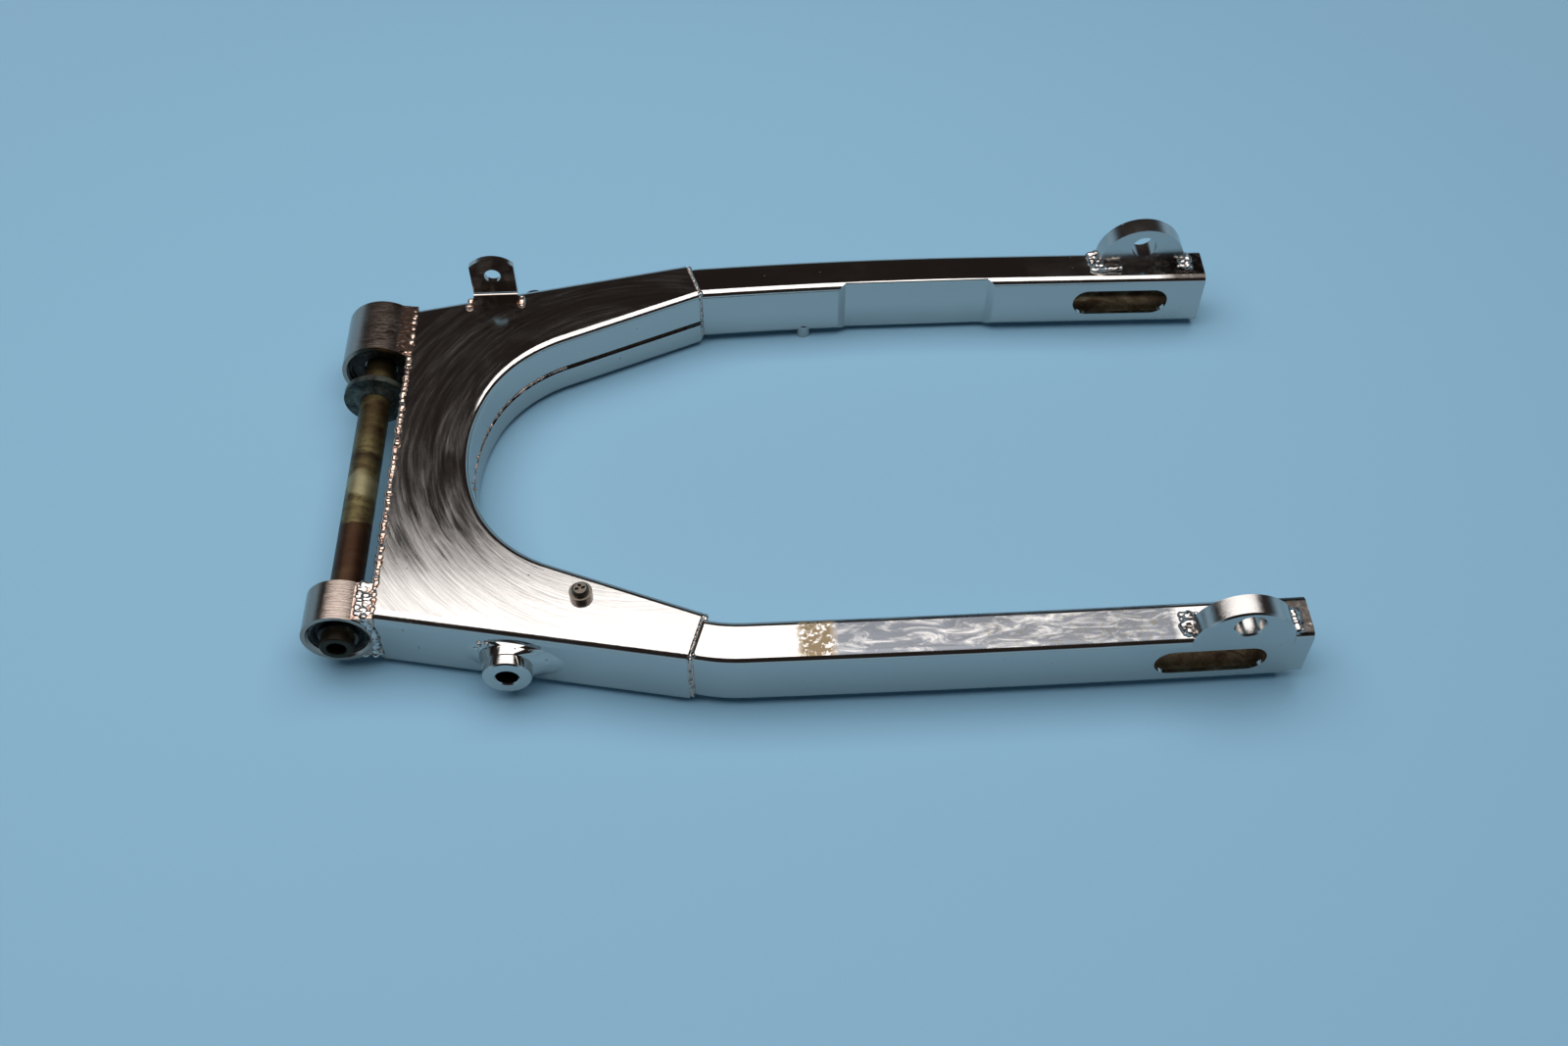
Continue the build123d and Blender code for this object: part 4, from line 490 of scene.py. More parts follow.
class Bench:
    """The CAD nodes of the part, and every finish that they take."""

    def __init__(self, frame: dict[str, Any]) -> None:
        """Makes each finish once, by the name of the record's slot.
        """
        self.nodes: dict[str, Piece] = frame["nodes"]
        self.slot_of = {part["node"]: part["material_slot"] for part in frame["record"]["subparts"]}
        self.by_slot: dict[str, bpy.types.Material] = {}
        for slot, finish in {
            "yoke_chrome": ChromePlate(
                "buffed_chrome_yoke", smooth=0.06, haze=0.10, haze_mm=(46.0, 14.0, 60.0), pit_share=0.06,
                line_mm=(36.0, 1.7, 30.0), line_depth_mm=0.010, line_grip=0.10, wave_mm=(60.0, 26.0, 60.0),
                wave_depth_mm=0.05, spread=Spread.CURVE,
            ),
            "arm_chrome": ChromePlate(
                "polished_chrome_arm", spread=Spread.TAIL, pit_spacing_mm=3.2, pit_share=0.04,
                line_depth_mm=0.006,
            ),
            "lug_chrome": ChromePlate(
                "brushed_chrome_lug", line_mm=(0.8, 0.8, 24.0), line_depth_mm=0.02, smooth=0.09, haze=0.2,
            ),
            "housing_chrome": ChromePlate(
                "brushed_chrome_housing", tint="#a8988e", line_mm=(26.0, 0.7, 26.0), line_depth_mm=0.03,
                smooth=0.10, haze=0.22,
            ),
            "boss_chrome": ChromePlate(
                "polished_chrome_boss", smooth=0.06, haze=0.12, haze_mm=(20.0, 20.0, 20.0),
                wave_mm=(9.0, 9.0, 9.0), bore_mm=(91.0, -4.4, 6.05),
            ),
            "bracket_chrome": ChromePlate(
                "polished_chrome_bracket", tint="#c9bfb8", haze=0.24, haze_mm=(18.0, 18.0, 18.0),
                line_mm=(30.0, 30.0, 1.0),
            ),
            "screw_steel": ChromePlate("zinc_plated_screw", tint="#6e655c", smooth=0.2, haze=0.2),
            "weld_chrome": PlatedWeld("plated_weld_bead"),
            "tube_steel": WornSteel(
                "stained_steel_tube", "#5f5335", "#80744d", "#3c2814", 0.8, 0.36, (30.0, 12.0, 30.0),
                grain_mm=2.4, relief_mm=0.03,
                bands=(
                    (-150.0, -118.0, "#1d1611", 0.9),
                    (-96.0, -42.0, "#3a1f12", 0.85),
                    (-23.0, -9.0, "#aaa27e", 0.65),
                    (2.0, 8.0, "#2c1a10", 0.75),
                    (36.0, 44.0, "#3a2414", 0.6),
                    (72.0, 120.0, "#2b2013", 0.8),
                ),
            ),
            "collar_steel": WornSteel("oiled_black_steel", "#3c403a", "#5b6258", "#17130f", 0.5, 0.38),
            "bush_steel": WornSteel("greasy_steel_bush", "#4a4540", "#77706a", "#1a1512", 0.8, 0.4),
            "bush_rubber": WornSteel("moulded_black_rubber", "#161514", "#242220", "#0b0a0a", 0.0, 0.7),
            "bearing_steel": WornSteel(
                "ground_bearing_steel", "#a8a49c", "#bdb9b1", "#6d6458", 1.0, 0.25, relief_mm=0.01
            ),
            "shield_steel": WornSteel(
                "greasy_dust_shield", "#33291f", "#5a4c3c", "#120d0a", 0.5, 0.42, (5.0, 40.0, 5.0)
            ),
        }.items():
            self.by_slot[slot] = finish.build()
        self.left_arm = ChromePlate(
            "polished_chrome_left_arm", spread=Spread.TAIL, pit_spacing_mm=3.2, pit_share=0.03, residue=True,
        ).build()
        self.rust = WornSteel(
            "rusted_tube_inside", "#7b674a", "#a2947a", "#4a3018", 0.2, 0.7, (14.0, 14.0, 14.0),
            relief_mm=0.15,
        ).build()
        self.bright_weld = PlatedWeld(
            "bright_plated_weld", "#cbc3be", "#2e2622", 0.09, lump_mm=2.2, relief_mm=0.3
        ).build()
        # A near-black weld finish: painted shade for the dark groove that the inner seam lies in.
        self.dark_seam = PlatedWeld("unpolished_seam", "#3d322d", "#0f0b09", 0.3, lump_mm=1.2).build()

    def coat(self, piece: Piece, *materials: bpy.types.Material) -> None:
        """Gives a piece these materials and no others."""
        piece.data.materials.clear()
        for material in materials:
            piece.data.materials.append(material)

    def dress(self, *names: str) -> None:
        """Gives each named node the finish of its slot in the record."""
        for name in names:
            self.coat(self.nodes[name], self.by_slot[self.slot_of[name]])


def pick(*pieces: Piece) -> None:
    """Selects some pieces alone, the first of them active."""
    bpy.ops.object.select_all(action="DESELECT")
    for piece in pieces:
        piece.select_set(True)
    bpy.context.view_layer.objects.active = pieces[0]


def apply_modifiers(piece: Piece) -> None:
    """Applies each modifier of a piece in order."""
    pick(piece)
    for modifier in list(piece.modifiers):
        bpy.ops.object.modifier_apply(modifier=modifier.name)


def cut_block(piece: Piece, middle: Vector, size: tuple[float, ...], turn: float = 0.0) -> None:
    """Cuts a block out of a piece.

    Args:
        piece: Piece that is cut.
        middle: Middle of the block in metres.
        size: Length, width and height of the block in metres.
        turn: Turn of the block about Z in degrees.
    """
    bpy.ops.object.select_all(action="DESELECT")
    bpy.ops.mesh.primitive_cube_add(size=1.0, location=middle)
    block = bpy.context.object
    block.scale = size
    block.rotation_euler = (0, 0, math.radians(turn))
    bpy.ops.object.transform_apply(location=True, rotation=True, scale=True)
    cut = piece.modifiers.new("cut", "BOOLEAN")
    cut.operation = "DIFFERENCE"
    cut.object = block
    cut.solver = "EXACT"
    apply_modifiers(piece)
    bpy.data.objects.remove(block)


def pick_faces(piece: Piece, wanted: Callable[[bpy.types.MeshPolygon], bool]) -> None:
    """Enters edit mode with only the wanted faces selected.

    Args:
        piece: Piece whose faces are tested.
        wanted: Test that a face passes to be selected.
    """
    pick(piece)
    bpy.ops.object.mode_set(mode="EDIT")
    bpy.ops.mesh.select_mode(type="FACE")
    bpy.ops.mesh.select_all(action="DESELECT")
    bpy.ops.object.mode_set(mode="OBJECT")
    for face in piece.data.polygons:
        face.select = wanted(face)
    bpy.ops.object.mode_set(mode="EDIT")


@dataclass
class WeldRun:
    """A bead of overlapping weld lumps along a path."""

    name: str
    path_mm: list[Vector]
    radius_mm: float
    step_mm: float
    seed: int
    lift: Vector = field(default_factory=lambda: Vector((0, 0, 1)))
    squash: float = 0.75
    wander_mm: float = 0.35
    voxel_mm: float = 0.4
    uneven: float = 0.18
    bright: bool = False

    def build(self, bench: Bench, replaced: str | None = None) -> None:
        """Models the bead from one lump that is copied along the path.

        Args:
            bench: Nodes and finishes.
            replaced: CAD node that the bead stands for, if any.
        """
        dice = random.Random(self.seed)
        lump = self._lump()
        copies = []
        for spot, heading in self._stations():
            copy = lump.copy()
            copy.data = lump.data.copy()
            bpy.context.scene.collection.objects.link(copy)
            size = self.radius_mm * (1 + dice.uniform(-self.uneven, self.uneven))
            side = heading.cross(self.lift).normalized()
            rise = side.cross(heading).normalized()
            axes = (heading * size * 0.8, side * size, rise * size * self.squash)
            basis = Matrix(axes).transposed().to_4x4()
            aside, up = dice.uniform(-1, 1), dice.uniform(-0.5, 0.5)
            shift = side * aside * self.wander_mm + rise * up * self.wander_mm
            copy.data.transform(Matrix.Scale(MM, 4) @ Matrix.Translation(spot + shift) @ basis)
            copies.append(copy)
        bpy.data.objects.remove(lump)
        pick(*copies)
        bpy.ops.object.join()
        bead = bpy.context.object
        bead.name = self.name
        remesh = bead.modifiers.new("melt", "REMESH")
        remesh.mode = "VOXEL"
        remesh.voxel_size = self.voxel_mm * MM
        melt = bead.modifiers.new("smooth", "SMOOTH")
        melt.iterations = 3
        apply_modifiers(bead)
        bpy.ops.object.shade_smooth()
        bench.coat(bead, bench.bright_weld if self.bright else bench.by_slot["weld_chrome"])
        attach(bead, "swingarm")
        if replaced:
            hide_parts(replaced)
        LOG.info("welded %s with %d lumps", self.name, len(copies))

    def _lump(self) -> Piece:
        """Models one lump of unit radius with a ripple round its waist."""
        bpy.ops.object.select_all(action="DESELECT")
        bpy.ops.mesh.primitive_uv_sphere_add(segments=12, ring_count=8, radius=1.0)
        lump = bpy.context.object
        bpy.ops.object.mode_set(mode="EDIT")
        bpy.ops.mesh.select_all(action="DESELECT")
        bpy.ops.object.mode_set(mode="OBJECT")
        for vertex in lump.data.vertices:
            vertex.select = abs(vertex.co.z) < 0.2
        bpy.ops.object.mode_set(mode="EDIT")
        bpy.ops.transform.resize(value=(1.08, 1.08, 1.0))
        bpy.ops.object.mode_set(mode="OBJECT")
        return lump

    def _stations(self) -> list[tuple[Vector, Vector]]:
        """Lists the lumps' places and headings along the path.

        Returns:
            Pairs of a place in millimetres and a unit heading.
        """
        stations = []
        carry = 0.0
        for start, end in zip(self.path_mm, self.path_mm[1:]):
            run = end - start
            length = run.length
            if length < 1e-6:
                continue
            while carry <= length:
                stations.append((start + run * (carry / length), run.normalized()))
                carry += self.step_mm
            carry -= length
        return stations


def merged_copy(node: Piece, name: str) -> Piece:
    """Copies a CAD node and merges its loose triangles.

    Args:
        node: CAD node.
        name: Name of the new piece.

    Returns:
        The copy, ready for edit operators.
    """
    piece = node.copy()
    piece.data = node.data.copy()
    piece.name = name
    bpy.context.scene.collection.objects.link(piece)
    piece.parent = None
    pick(piece)
    bpy.ops.object.mode_set(mode="EDIT")
    bpy.ops.mesh.select_all(action="SELECT")
    bpy.ops.mesh.customdata_custom_splitnormals_clear()
    bpy.ops.mesh.remove_doubles(threshold=0.005 * MM)
    bpy.ops.object.mode_set(mode="OBJECT")
    return piece


@dataclass
class Assembly:
    """A sub-assembly of the part, which dresses its own nodes and lays its own welds."""

    bench: Bench


@dataclass
class Yoke(Assembly):
    """Box yoke with its front plate, side fittings and weld beads."""

    front_x: float = 20.4
    front_half: float = 116.6
    top_z: float = 16.0
    bottom_z: float = -24.4
    apex_x: float = 62.8
    apex_radius: float = 111.84
    apex_angle: float = 22.0
    shoulder_radius: float = 78.0
    inner_angle: float = 23.2
    seam_z: float = -7.0

    def build(self) -> None:
        """Dresses the yoke's nodes and lays its welds."""
        self.bench.dress("yoke_upper_shell", "yoke_lower_shell", "yoke_front_plate", "right_side_boss")
        self.bench.dress("front_weld_top", "front_weld_bottom")
        # The seam's CAD weld takes the near-black finish, as painted shade in its groove.
        self.bench.coat(self.bench.nodes["inner_seam_weld"], self.bench.dark_seam)
        self._front_beads()
        self._seam_bead()

    def _front_beads(self) -> None:
        """Lays the lumpy beads along the upper and lower front edges."""
        for place, height, lean, seed in (("top", self.top_z, 0.7, 3), ("bottom", self.bottom_z, -0.7, 5)):
            name = "front_weld_" + place
            ends = [Vector((self.front_x, y, height)) for y in (-self.front_half + 3, self.front_half - 3)]
            WeldRun(
                name + "_bead", ends, radius_mm=2.35, step_mm=1.9, seed=seed, lift=Vector((-0.7, 0, lean)),
                wander_mm=0.5, uneven=0.3,
            ).build(self.bench, name)

    def inner_curve(self, height: float, inset: float) -> list[Vector]:
        """Follows the inner wall of the yoke from side to side.

        Args:
            height: Z of the path in millimetres.
            inset: Distance of the path in front of the wall in millimetres.

        Returns:
            Points in millimetres, from the left to the right.
        """
        half: list[Vector] = []
        spot, angle = Vector((self.apex_x - inset, 0.0)), 90.0
        for radius, stop in (
            (self.apex_radius + inset, 90.0 - self.apex_angle),
            (self.shoulder_radius + inset, self.inner_angle),
        ):
            while angle > stop + 1e-6:
                half.append(spot.copy())
                bend = min(2.0, angle - stop)
                heading = math.radians(angle - bend / 2)
                spot = spot + Vector((math.cos(heading), math.sin(heading))) * math.radians(bend) * radius
                angle -= bend
        half.append(spot.copy())
        right = [Vector((p.x, p.y, height)) for p in half]
        return [Vector((p.x, -p.y, p.z)) for p in reversed(right)] + right[1:]

    def _seam_bead(self) -> None:
        """Lays the ragged bead in the groove of the inner wall."""
        WeldRun(
            "inner_seam_bead", self.inner_curve(self.seam_z, 0.9), radius_mm=1.15, step_mm=1.9, seed=11,
            wander_mm=0.55, uneven=0.45, voxel_mm=0.32, squash=0.9,
        ).build(self.bench)


@dataclass
class Arm(Assembly):
    """One arm tube with its joint weld, shock lug and lug welds."""

    side: Side
    height: float = 38.0
    width: float = 27.2
    axis_z: float = -4.4
    corner: float = 5.0
    division_x: float = 383.5
    wall: float = 2.5
    end_x: float = 515.0
    trim_x: float = 505.5
    step: Triple = (9.0, 13.0, 5.7)
    mouth: tuple[float, float] = (190.9, 135.155)
    mouth_angle: float = 16.6
    joint_gap: float = 0.9
    lug_foot_z: float = 14.4
    lug_row: float = 2.2
    lug_margin: float = 1.8
    dent: tuple[float, float] = (0.15, 1.0)
    skin_gap: float = 0.12
    flat_angle: float = 24.0
    edge_angle: float = 28.0
    left_bends: tuple[tuple[float, float], ...] = ((90.0, 0.0), (12213.0, -1.4))
    right_bends: tuple[tuple[float, float], ...] = ((25.0, 3.0), (2570.0, 0.0), (2000.0, -1.0))

    def build(self) -> None:
        """Dresses the arm and lays its welds."""
        word = self.side.word
        self._tube()
        self.bench.dress(word + "_shock_lug", word + "_joint_weld")
        self._joint_bead()
        for place in ("front", "rear"):
            name = f"{word}_lug_weld_{place}"
            self.bench.dress(name)
            self._lug_bead(name, place)

    def course(self, along: float) -> tuple[float, float]:
        """Follows the tube's centre line.

        Args:
            along: Distance along the arm in millimetres.

        Returns:
            Y of the centre line in millimetres, and its heading in plan in radians.
        """
        sign = self.side.value
        start, across, heading = self.mouth[0], self.mouth[1], math.radians(self.mouth_angle)
        bends = self.left_bends if self.side is Side.LEFT else self.right_bends
        for radius, way_out in bends if along > start else ():
            leave = math.radians(way_out)
            end = start + radius * (math.sin(heading) - math.sin(leave))
            if along < end:
                leave = math.asin(math.sin(heading) - (along - start) / radius)
                return sign * (across + radius * (math.cos(leave) - math.cos(heading))), sign * leave
            start, across, heading = end, across + radius * (math.cos(leave) - math.cos(heading)), leave
        return sign * (across + math.tan(heading) * (along - start)), sign * heading

    def skin(self, spot: Vector) -> tuple[Vector, float]:
        """Finds the true normal of the tube's skin at a point.

        Args:
            spot: Point in millimetres.

        Returns:
            Outward normal, and the distance of the point from the line of the corners' centres.
        """
        foot = spot.x
        for _ in range(8):
            across, heading = self.course(foot)
            foot = spot.x + (spot.y - across) * math.tan(heading)
        across, heading = self.course(foot)
        aside, rise = (spot.y - across) / math.cos(heading), spot.z - self.axis_z
        aside = math.copysign(max(0.0, abs(aside) - self.width / 2 + self.corner), aside)
        rise = math.copysign(max(0.0, abs(rise) - self.height / 2 + self.corner), rise)
        normal = Vector((-math.sin(heading) * aside, math.cos(heading) * aside, rise))
        return normal.normalized(), normal.length

    def _tube(self) -> None:
        """Replaces the tube with a merged copy that is plated outside and rusty inside."""
        node = self.bench.nodes[self.side.word + "_arm_tube"]
        tube = merged_copy(node, self.side.word + "_arm_plated_tube")
        pick_faces(tube, self._divides)
        if self.side is Side.RIGHT:
            bpy.ops.mesh.delete(type="FACE")
        bpy.ops.mesh.select_all(action="SELECT")
        bpy.ops.mesh.remove_doubles(threshold=0.01 * MM)
        bpy.ops.object.mode_set(mode="OBJECT")
        if self.side is Side.LEFT:
            self._square_end(tube)
        plate = self.bench.left_arm if self.side is Side.LEFT else self.bench.by_slot["arm_chrome"]
        self.bench.coat(tube, plate, self.bench.rust)
        for face in tube.data.polygons:
            spot = face.center / MM
            inward = Vector((0.0, self.course(spot.x)[0] - spot.y, self.axis_z - spot.z))
            hollow = face.normal.dot(inward) > 0 and abs(inward.y) < self.width / 2 - 1.9
            face.material_index = 1 if hollow and abs(face.normal.x) < 0.9 else 0
        self._round(tube)
        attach(tube, "swingarm")
        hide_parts(node.name)
        LOG.info("plated %s", tube.name)

    def _divides(self, face: bpy.types.MeshPolygon) -> bool:
        """Tells whether a face lies in the plane where the CAD divides the right tube."""
        return abs(face.normal.x) > 0.99 and abs(face.center.x / MM - self.division_x) < 0.05

    def _square_end(self, tube: Piece) -> None:
        """Draws the tube's last stretch anew, with the small step at its lower outer corner.

        Args:
            tube: Merged copy of the tube, whose step is at the upper corner.
        """
        across, heading = self.course(self.end_x)
        pick(tube)
        bpy.ops.object.mode_set(mode="EDIT")
        bpy.ops.mesh.select_all(action="SELECT")
        bpy.ops.mesh.bisect(plane_co=(self.trim_x * MM, 0, 0), plane_no=(1, 0, 0), clear_outer=True)
        reach = (self.end_x - self.trim_x) * MM
        shift = (reach, reach * math.tan(heading), 0)
        bpy.ops.mesh.extrude_edges_move(TRANSFORM_OT_translate={"value": shift})
        bpy.ops.mesh.bridge_edge_loops()
        bpy.ops.mesh.select_all(action="SELECT")
        # The extrusion lays its faces in another order on each run, so they are sorted
        bpy.ops.mesh.sort_elements(type="CURSOR_DISTANCE", elements={"VERT", "EDGE", "FACE"})
        bpy.ops.mesh.normals_make_consistent(inside=False)
        bpy.ops.object.mode_set(mode="OBJECT")
        length, width, height = self.step
        corner = Vector((self.end_x, across - self.width / 2, self.axis_z - self.height / 2)) * MM
        cut_block(tube, corner, (2 * length * MM, 2 * width * MM, 2 * height * MM))

    def _round(self, tube: Piece) -> None:
        """Rounds a dented corner face and gives the skin its true normals, so that it mirrors evenly.

        Args:
            tube: Merged copy of the tube.
        """
        mesh = tube.data
        known = len(mesh.vertices)

        def dented(face: bpy.types.MeshPolygon) -> bool:
            """Tells whether a face with its corners on the skin lies below it."""
            sunk = self.corner - self.skin(face.center / MM)[1]
            rim = [self.corner - self.skin(mesh.vertices[index].co / MM)[1] for index in face.vertices]
            return self.dent[0] < sunk < self.dent[1] and max(abs(gap) for gap in rim) < 0.05

        pick_faces(tube, dented)
        bpy.ops.mesh.subdivide(number_cuts=4)
        bpy.ops.object.mode_set(mode="OBJECT")
        for vertex in mesh.vertices[known:]:
            normal, reach = self.skin(vertex.co / MM)
            vertex.co += normal * (self.corner - reach) * MM
        bpy.ops.object.shade_smooth_by_angle(angle=math.radians(self.edge_angle))
        normals = [Vector(corner.vector) for corner in mesh.corner_normals]
        for face in mesh.polygons:
            for corner in face.loop_indices:
                normal, reach = self.skin(mesh.vertices[mesh.loops[corner].vertex_index].co / MM)
                if min(abs(reach - self.corner), abs(reach - self.corner + self.wall)) > self.skin_gap:
                    continue
                facing = normal.dot(face.normal)
                if abs(facing) > math.cos(math.radians(self.flat_angle)):
                    normals[corner] = normal * math.copysign(1.0, facing)
        mesh.normals_split_custom_set(normals)

    def _joint_bead(self) -> None:
        """Lays the bead round the mouth of the yoke's socket, and a blob at each of its upper corners."""
        across = math.radians(self.mouth_angle)
        outward = Vector((-math.sin(across), math.cos(across), 0))
        centre = Vector((*self.mouth, self.axis_z)) + Vector((math.cos(across), math.sin(across), 0))
        halves = (self.width / 2 - self.corner, self.height / 2 - self.corner)
        ring = self.corner + self.joint_gap
        points = []
        for degrees in range(0, 361, 9):
            angle = math.radians(degrees)
            aside, rise = (
                (math.copysign(half, part) if abs(part) > 1e-6 else 0) + ring * part
                for half, part in zip(halves, (math.cos(angle), math.sin(angle)))
            )
            spot = centre + (outward * aside + Vector((0, 0, rise)))
            points.append(Vector((spot.x, spot.y * self.side.value, spot.z)))
        WeldRun(
            self.side.word + "_joint_bead", points, radius_mm=1.2, step_mm=1.6, seed=20 + self.side.value,
            lift=Vector((1, 0, 0)), wander_mm=0.4, uneven=0.4, voxel_mm=0.32, bright=True,
        ).build(self.bench)
        for spread, size, tag in ((-1, 2.1, "inner"), (1, 1.7, "outer")):
            blob = centre + outward * spread * (self.width / 2 - 2) + Vector((0, 0, self.height / 2 - 1.6))
            blob.y *= self.side.value
            path = [blob, blob + Vector((1.5, 0.8, 0.3)), blob + Vector((0.4, 2.6, -0.6))]
            WeldRun(
                f"{self.side.word}_joint_blob_{tag}", path, radius_mm=size, step_mm=1.3, seed=31 + spread,
                wander_mm=0.6, voxel_mm=0.35, bright=True,
            ).build(self.bench)

    def _lug_bead(self, name: str, place: str) -> None:
        """Lays looped lumps round one end of the lug's foot.

        Args:
            name: CAD node of the lug's weld.
            place: Which end of the lug, front or rear.
        """
        low, high = (Vector(corner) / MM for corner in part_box(name))
        middle = (low + high) / 2
        rim, root = (low.x, high.x) if place == "front" else (high.x, low.x)
        step = self.lug_row if place == "front" else -self.lug_row
        path = []
        for row in range(3):
            along = rim + step * (row + 0.9)
            ends = [high.y - self.lug_margin, low.y + self.lug_margin]
            if row % 2:
                ends.reverse()
            path += [Vector((along, y, self.lug_foot_z + 0.9 * row)) for y in ends]
        WeldRun(
            name + "_bead", path, radius_mm=2.5, step_mm=2.1, seed=len(name) * 7 + len(place), wander_mm=0.6,
            uneven=0.35, voxel_mm=0.45, squash=0.9, bright=True,
        ).build(self.bench, name)
        for y in (low.y + 1.2, high.y - 1.2):
            climb = ((rim + step * 0.6, 0.6), (middle.x, 1.2), (root, 2.0))
            toe = [Vector((x, y, self.lug_foot_z + rise)) for x, rise in climb]
            WeldRun(
                f"{name}_toe_{'low' if y < middle.y else 'high'}", toe, radius_mm=1.7, step_mm=1.6,
                seed=len(name) + int(abs(y)), wander_mm=0.5, uneven=0.35, voxel_mm=0.35, bright=True,
            ).build(self.bench)


@dataclass
class PivotEnd(Assembly):
    """One pivot housing with what it holds and the welds that join it to the yoke."""

    side: Side
    low_y: float
    high_y: float
    radius: float
    held: tuple[str, ...]
    yoke_x: float = 20.6
    top_z: float = 16.2
    bottom_z: float = 22.0
    bead_climb: float = 0.86

    def build(self) -> None:
        """Dresses the housing and lays its welds."""
        names = ("pivot_housing", "pivot_weld", *self.held)
        self.bench.dress(*(f"{self.side.word}_{name}" for name in names))
        self._top_bead()
        self._side_beads()

    def _top_bead(self) -> None:
        """Lays the broad bead over the gap between the housing and the yoke, above and below."""
        climb = self.radius * self.bead_climb
        for tag, height in (("top", min(self.top_z, climb)), ("bottom", -min(self.bottom_z, climb))):
            reach = math.sqrt(max(4.0, self.radius**2 - height**2))
            path = []
            for row, along in enumerate((reach + 1.2, (reach + self.yoke_x) / 2, self.yoke_x - 1.0)):
                ends = [self.low_y + 1.8, self.high_y - 1.8]
                if row % 2:
                    ends.reverse()
                drop = -0.4 * row if height > 0 else 0.4 * row
                path += [Vector((along, y, height + drop)) for y in ends]
            WeldRun(
                f"{self.side.word}_pivot_bead_{tag}", path, radius_mm=2.3, step_mm=2.3,
                seed=41 + len(tag) + self.side.value, wander_mm=0.7, uneven=0.4, voxel_mm=0.45,
                bright=self.side is Side.LEFT,
            ).build(self.bench)

    def _side_beads(self) -> None:
        """Lays the upright beads at both ends of the housing."""
        for tag, y, lean in (("low", self.low_y + 0.8, -1), ("high", self.high_y - 0.8, 1)):
            path = [
                Vector((math.sqrt(self.radius**2 - z * z) * 0.5 + self.yoke_x * 0.5 - 0.3, y, z))
                for z in (-15, -11, -6, 0, 6, 11, 15)
            ]
            WeldRun(
                f"{self.side.word}_pivot_bead_{tag}", path, radius_mm=1.9, step_mm=1.9,
                seed=57 + lean + self.side.value, lift=Vector((0, lean, 0)), wander_mm=0.6, uneven=0.4,
                voxel_mm=0.4, bright=self.side is Side.LEFT,
            ).build(self.bench)


@dataclass
class PivotShaft(Assembly):
    """Pivot tube, its collar and the bearing parts that turn with it."""

    tube: str = "pivot_tube"
    collar: str = "pivot_collar"
    races: tuple[str, ...] = ("cone_inner", "cone_outer", "cone_spacer", "rollers_inner", "rollers_outer")

    def build(self) -> None:
        """Dresses the turning parts."""
        self.bench.dress(self.tube, self.collar, *("right_" + name for name in self.races))


@dataclass
class BrakeAnchor(Assembly):
    """Boss for the brake's anchor, on a welded saddle."""

    wall_x: float = 21.2
    wall_half: float = 117.4
    wall_angle: float = 11.3

    def build(self) -> None:
        """Dresses the boss and its saddle, and lays the weld round the boss."""
        self.bench.dress("brake_anchor_boss", "brake_anchor_saddle")
        low, high = (Vector(corner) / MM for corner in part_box("brake_anchor_saddle"))
        for tag, along, lean in (("front", low.x + 6.0, 1), ("rear", high.x - 8.0, -1)):
            climb = [(along + lean * way, z) for way, z in ((0, -3.0), (1, 1.5), (4, 5.0), (9, 7.0))]
            path = [Vector((x, self.wall_y(x) - 0.4, z)) for x, z in climb]
            WeldRun(
                f"anchor_bead_{tag}", path, radius_mm=1.5, step_mm=1.5, seed=71 + lean,
                lift=Vector((0, -1, 0)), wander_mm=0.9, uneven=0.45, voxel_mm=0.3, bright=True,
            ).build(self.bench)

    def wall_y(self, along: float) -> float:
        """Returns the Y of the yoke's left wall at a distance along the yoke, both in millimetres."""
        return -self.wall_half - math.tan(math.radians(self.wall_angle)) * (along - self.wall_x)


@dataclass
class GuardBracket(Assembly):
    """Upright bracket with its two short welds."""

    top_z: float = 17.2

    def build(self) -> None:
        """Dresses the bracket and lays its welds."""
        self.bench.dress("guard_bracket", "bracket_weld_front", "bracket_weld_rear")
        for name in ("bracket_weld_front", "bracket_weld_rear"):
            low, high = (Vector(corner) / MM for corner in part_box(name))
            middle = (low + high) / 2
            ends = ((low.y + 1.4, self.top_z), (high.y - 1.2, self.top_z + 0.5))
            WeldRun(
                name + "_bead", [Vector((middle.x, y, z)) for y, z in ends], radius_mm=1.9, step_mm=1.6,
                seed=len(name) * 3, wander_mm=0.6, uneven=0.4, voxel_mm=0.35,
            ).build(self.bench, name)


@dataclass
class SmallFittings(Assembly):
    """Screw with its boss on the yoke, and the stud under the right arm."""

    cross: Triple = (5.75, 1.3, 2.4)

    def build(self) -> None:
        """Dresses the fittings and cuts the cross into the screw's head."""
        self.bench.dress("under_arm_stud")
        zinc = self.bench.by_slot["screw_steel"]
        # The chrome boss takes the screw's darker zinc finish: painted shade, standing for the dark room
        # that the boss mirrors.
        self.bench.coat(self.bench.nodes["top_screw_boss"], zinc)
        head = merged_copy(self.bench.nodes["top_screw"], "top_screw_cross_head")
        low, high = (Vector(corner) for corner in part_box("top_screw"))
        centre = Vector(((low.x + high.x) / 2, (low.y + high.y) / 2, high.z))
        for turn in (20.0, 110.0):
            cut_block(head, centre, tuple(size * MM for size in self.cross), turn)
        pick(head)
        bpy.ops.object.shade_smooth_by_angle(angle=math.radians(30))
        self.bench.coat(head, zinc)
        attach(head, "swingarm")
        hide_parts("top_screw")


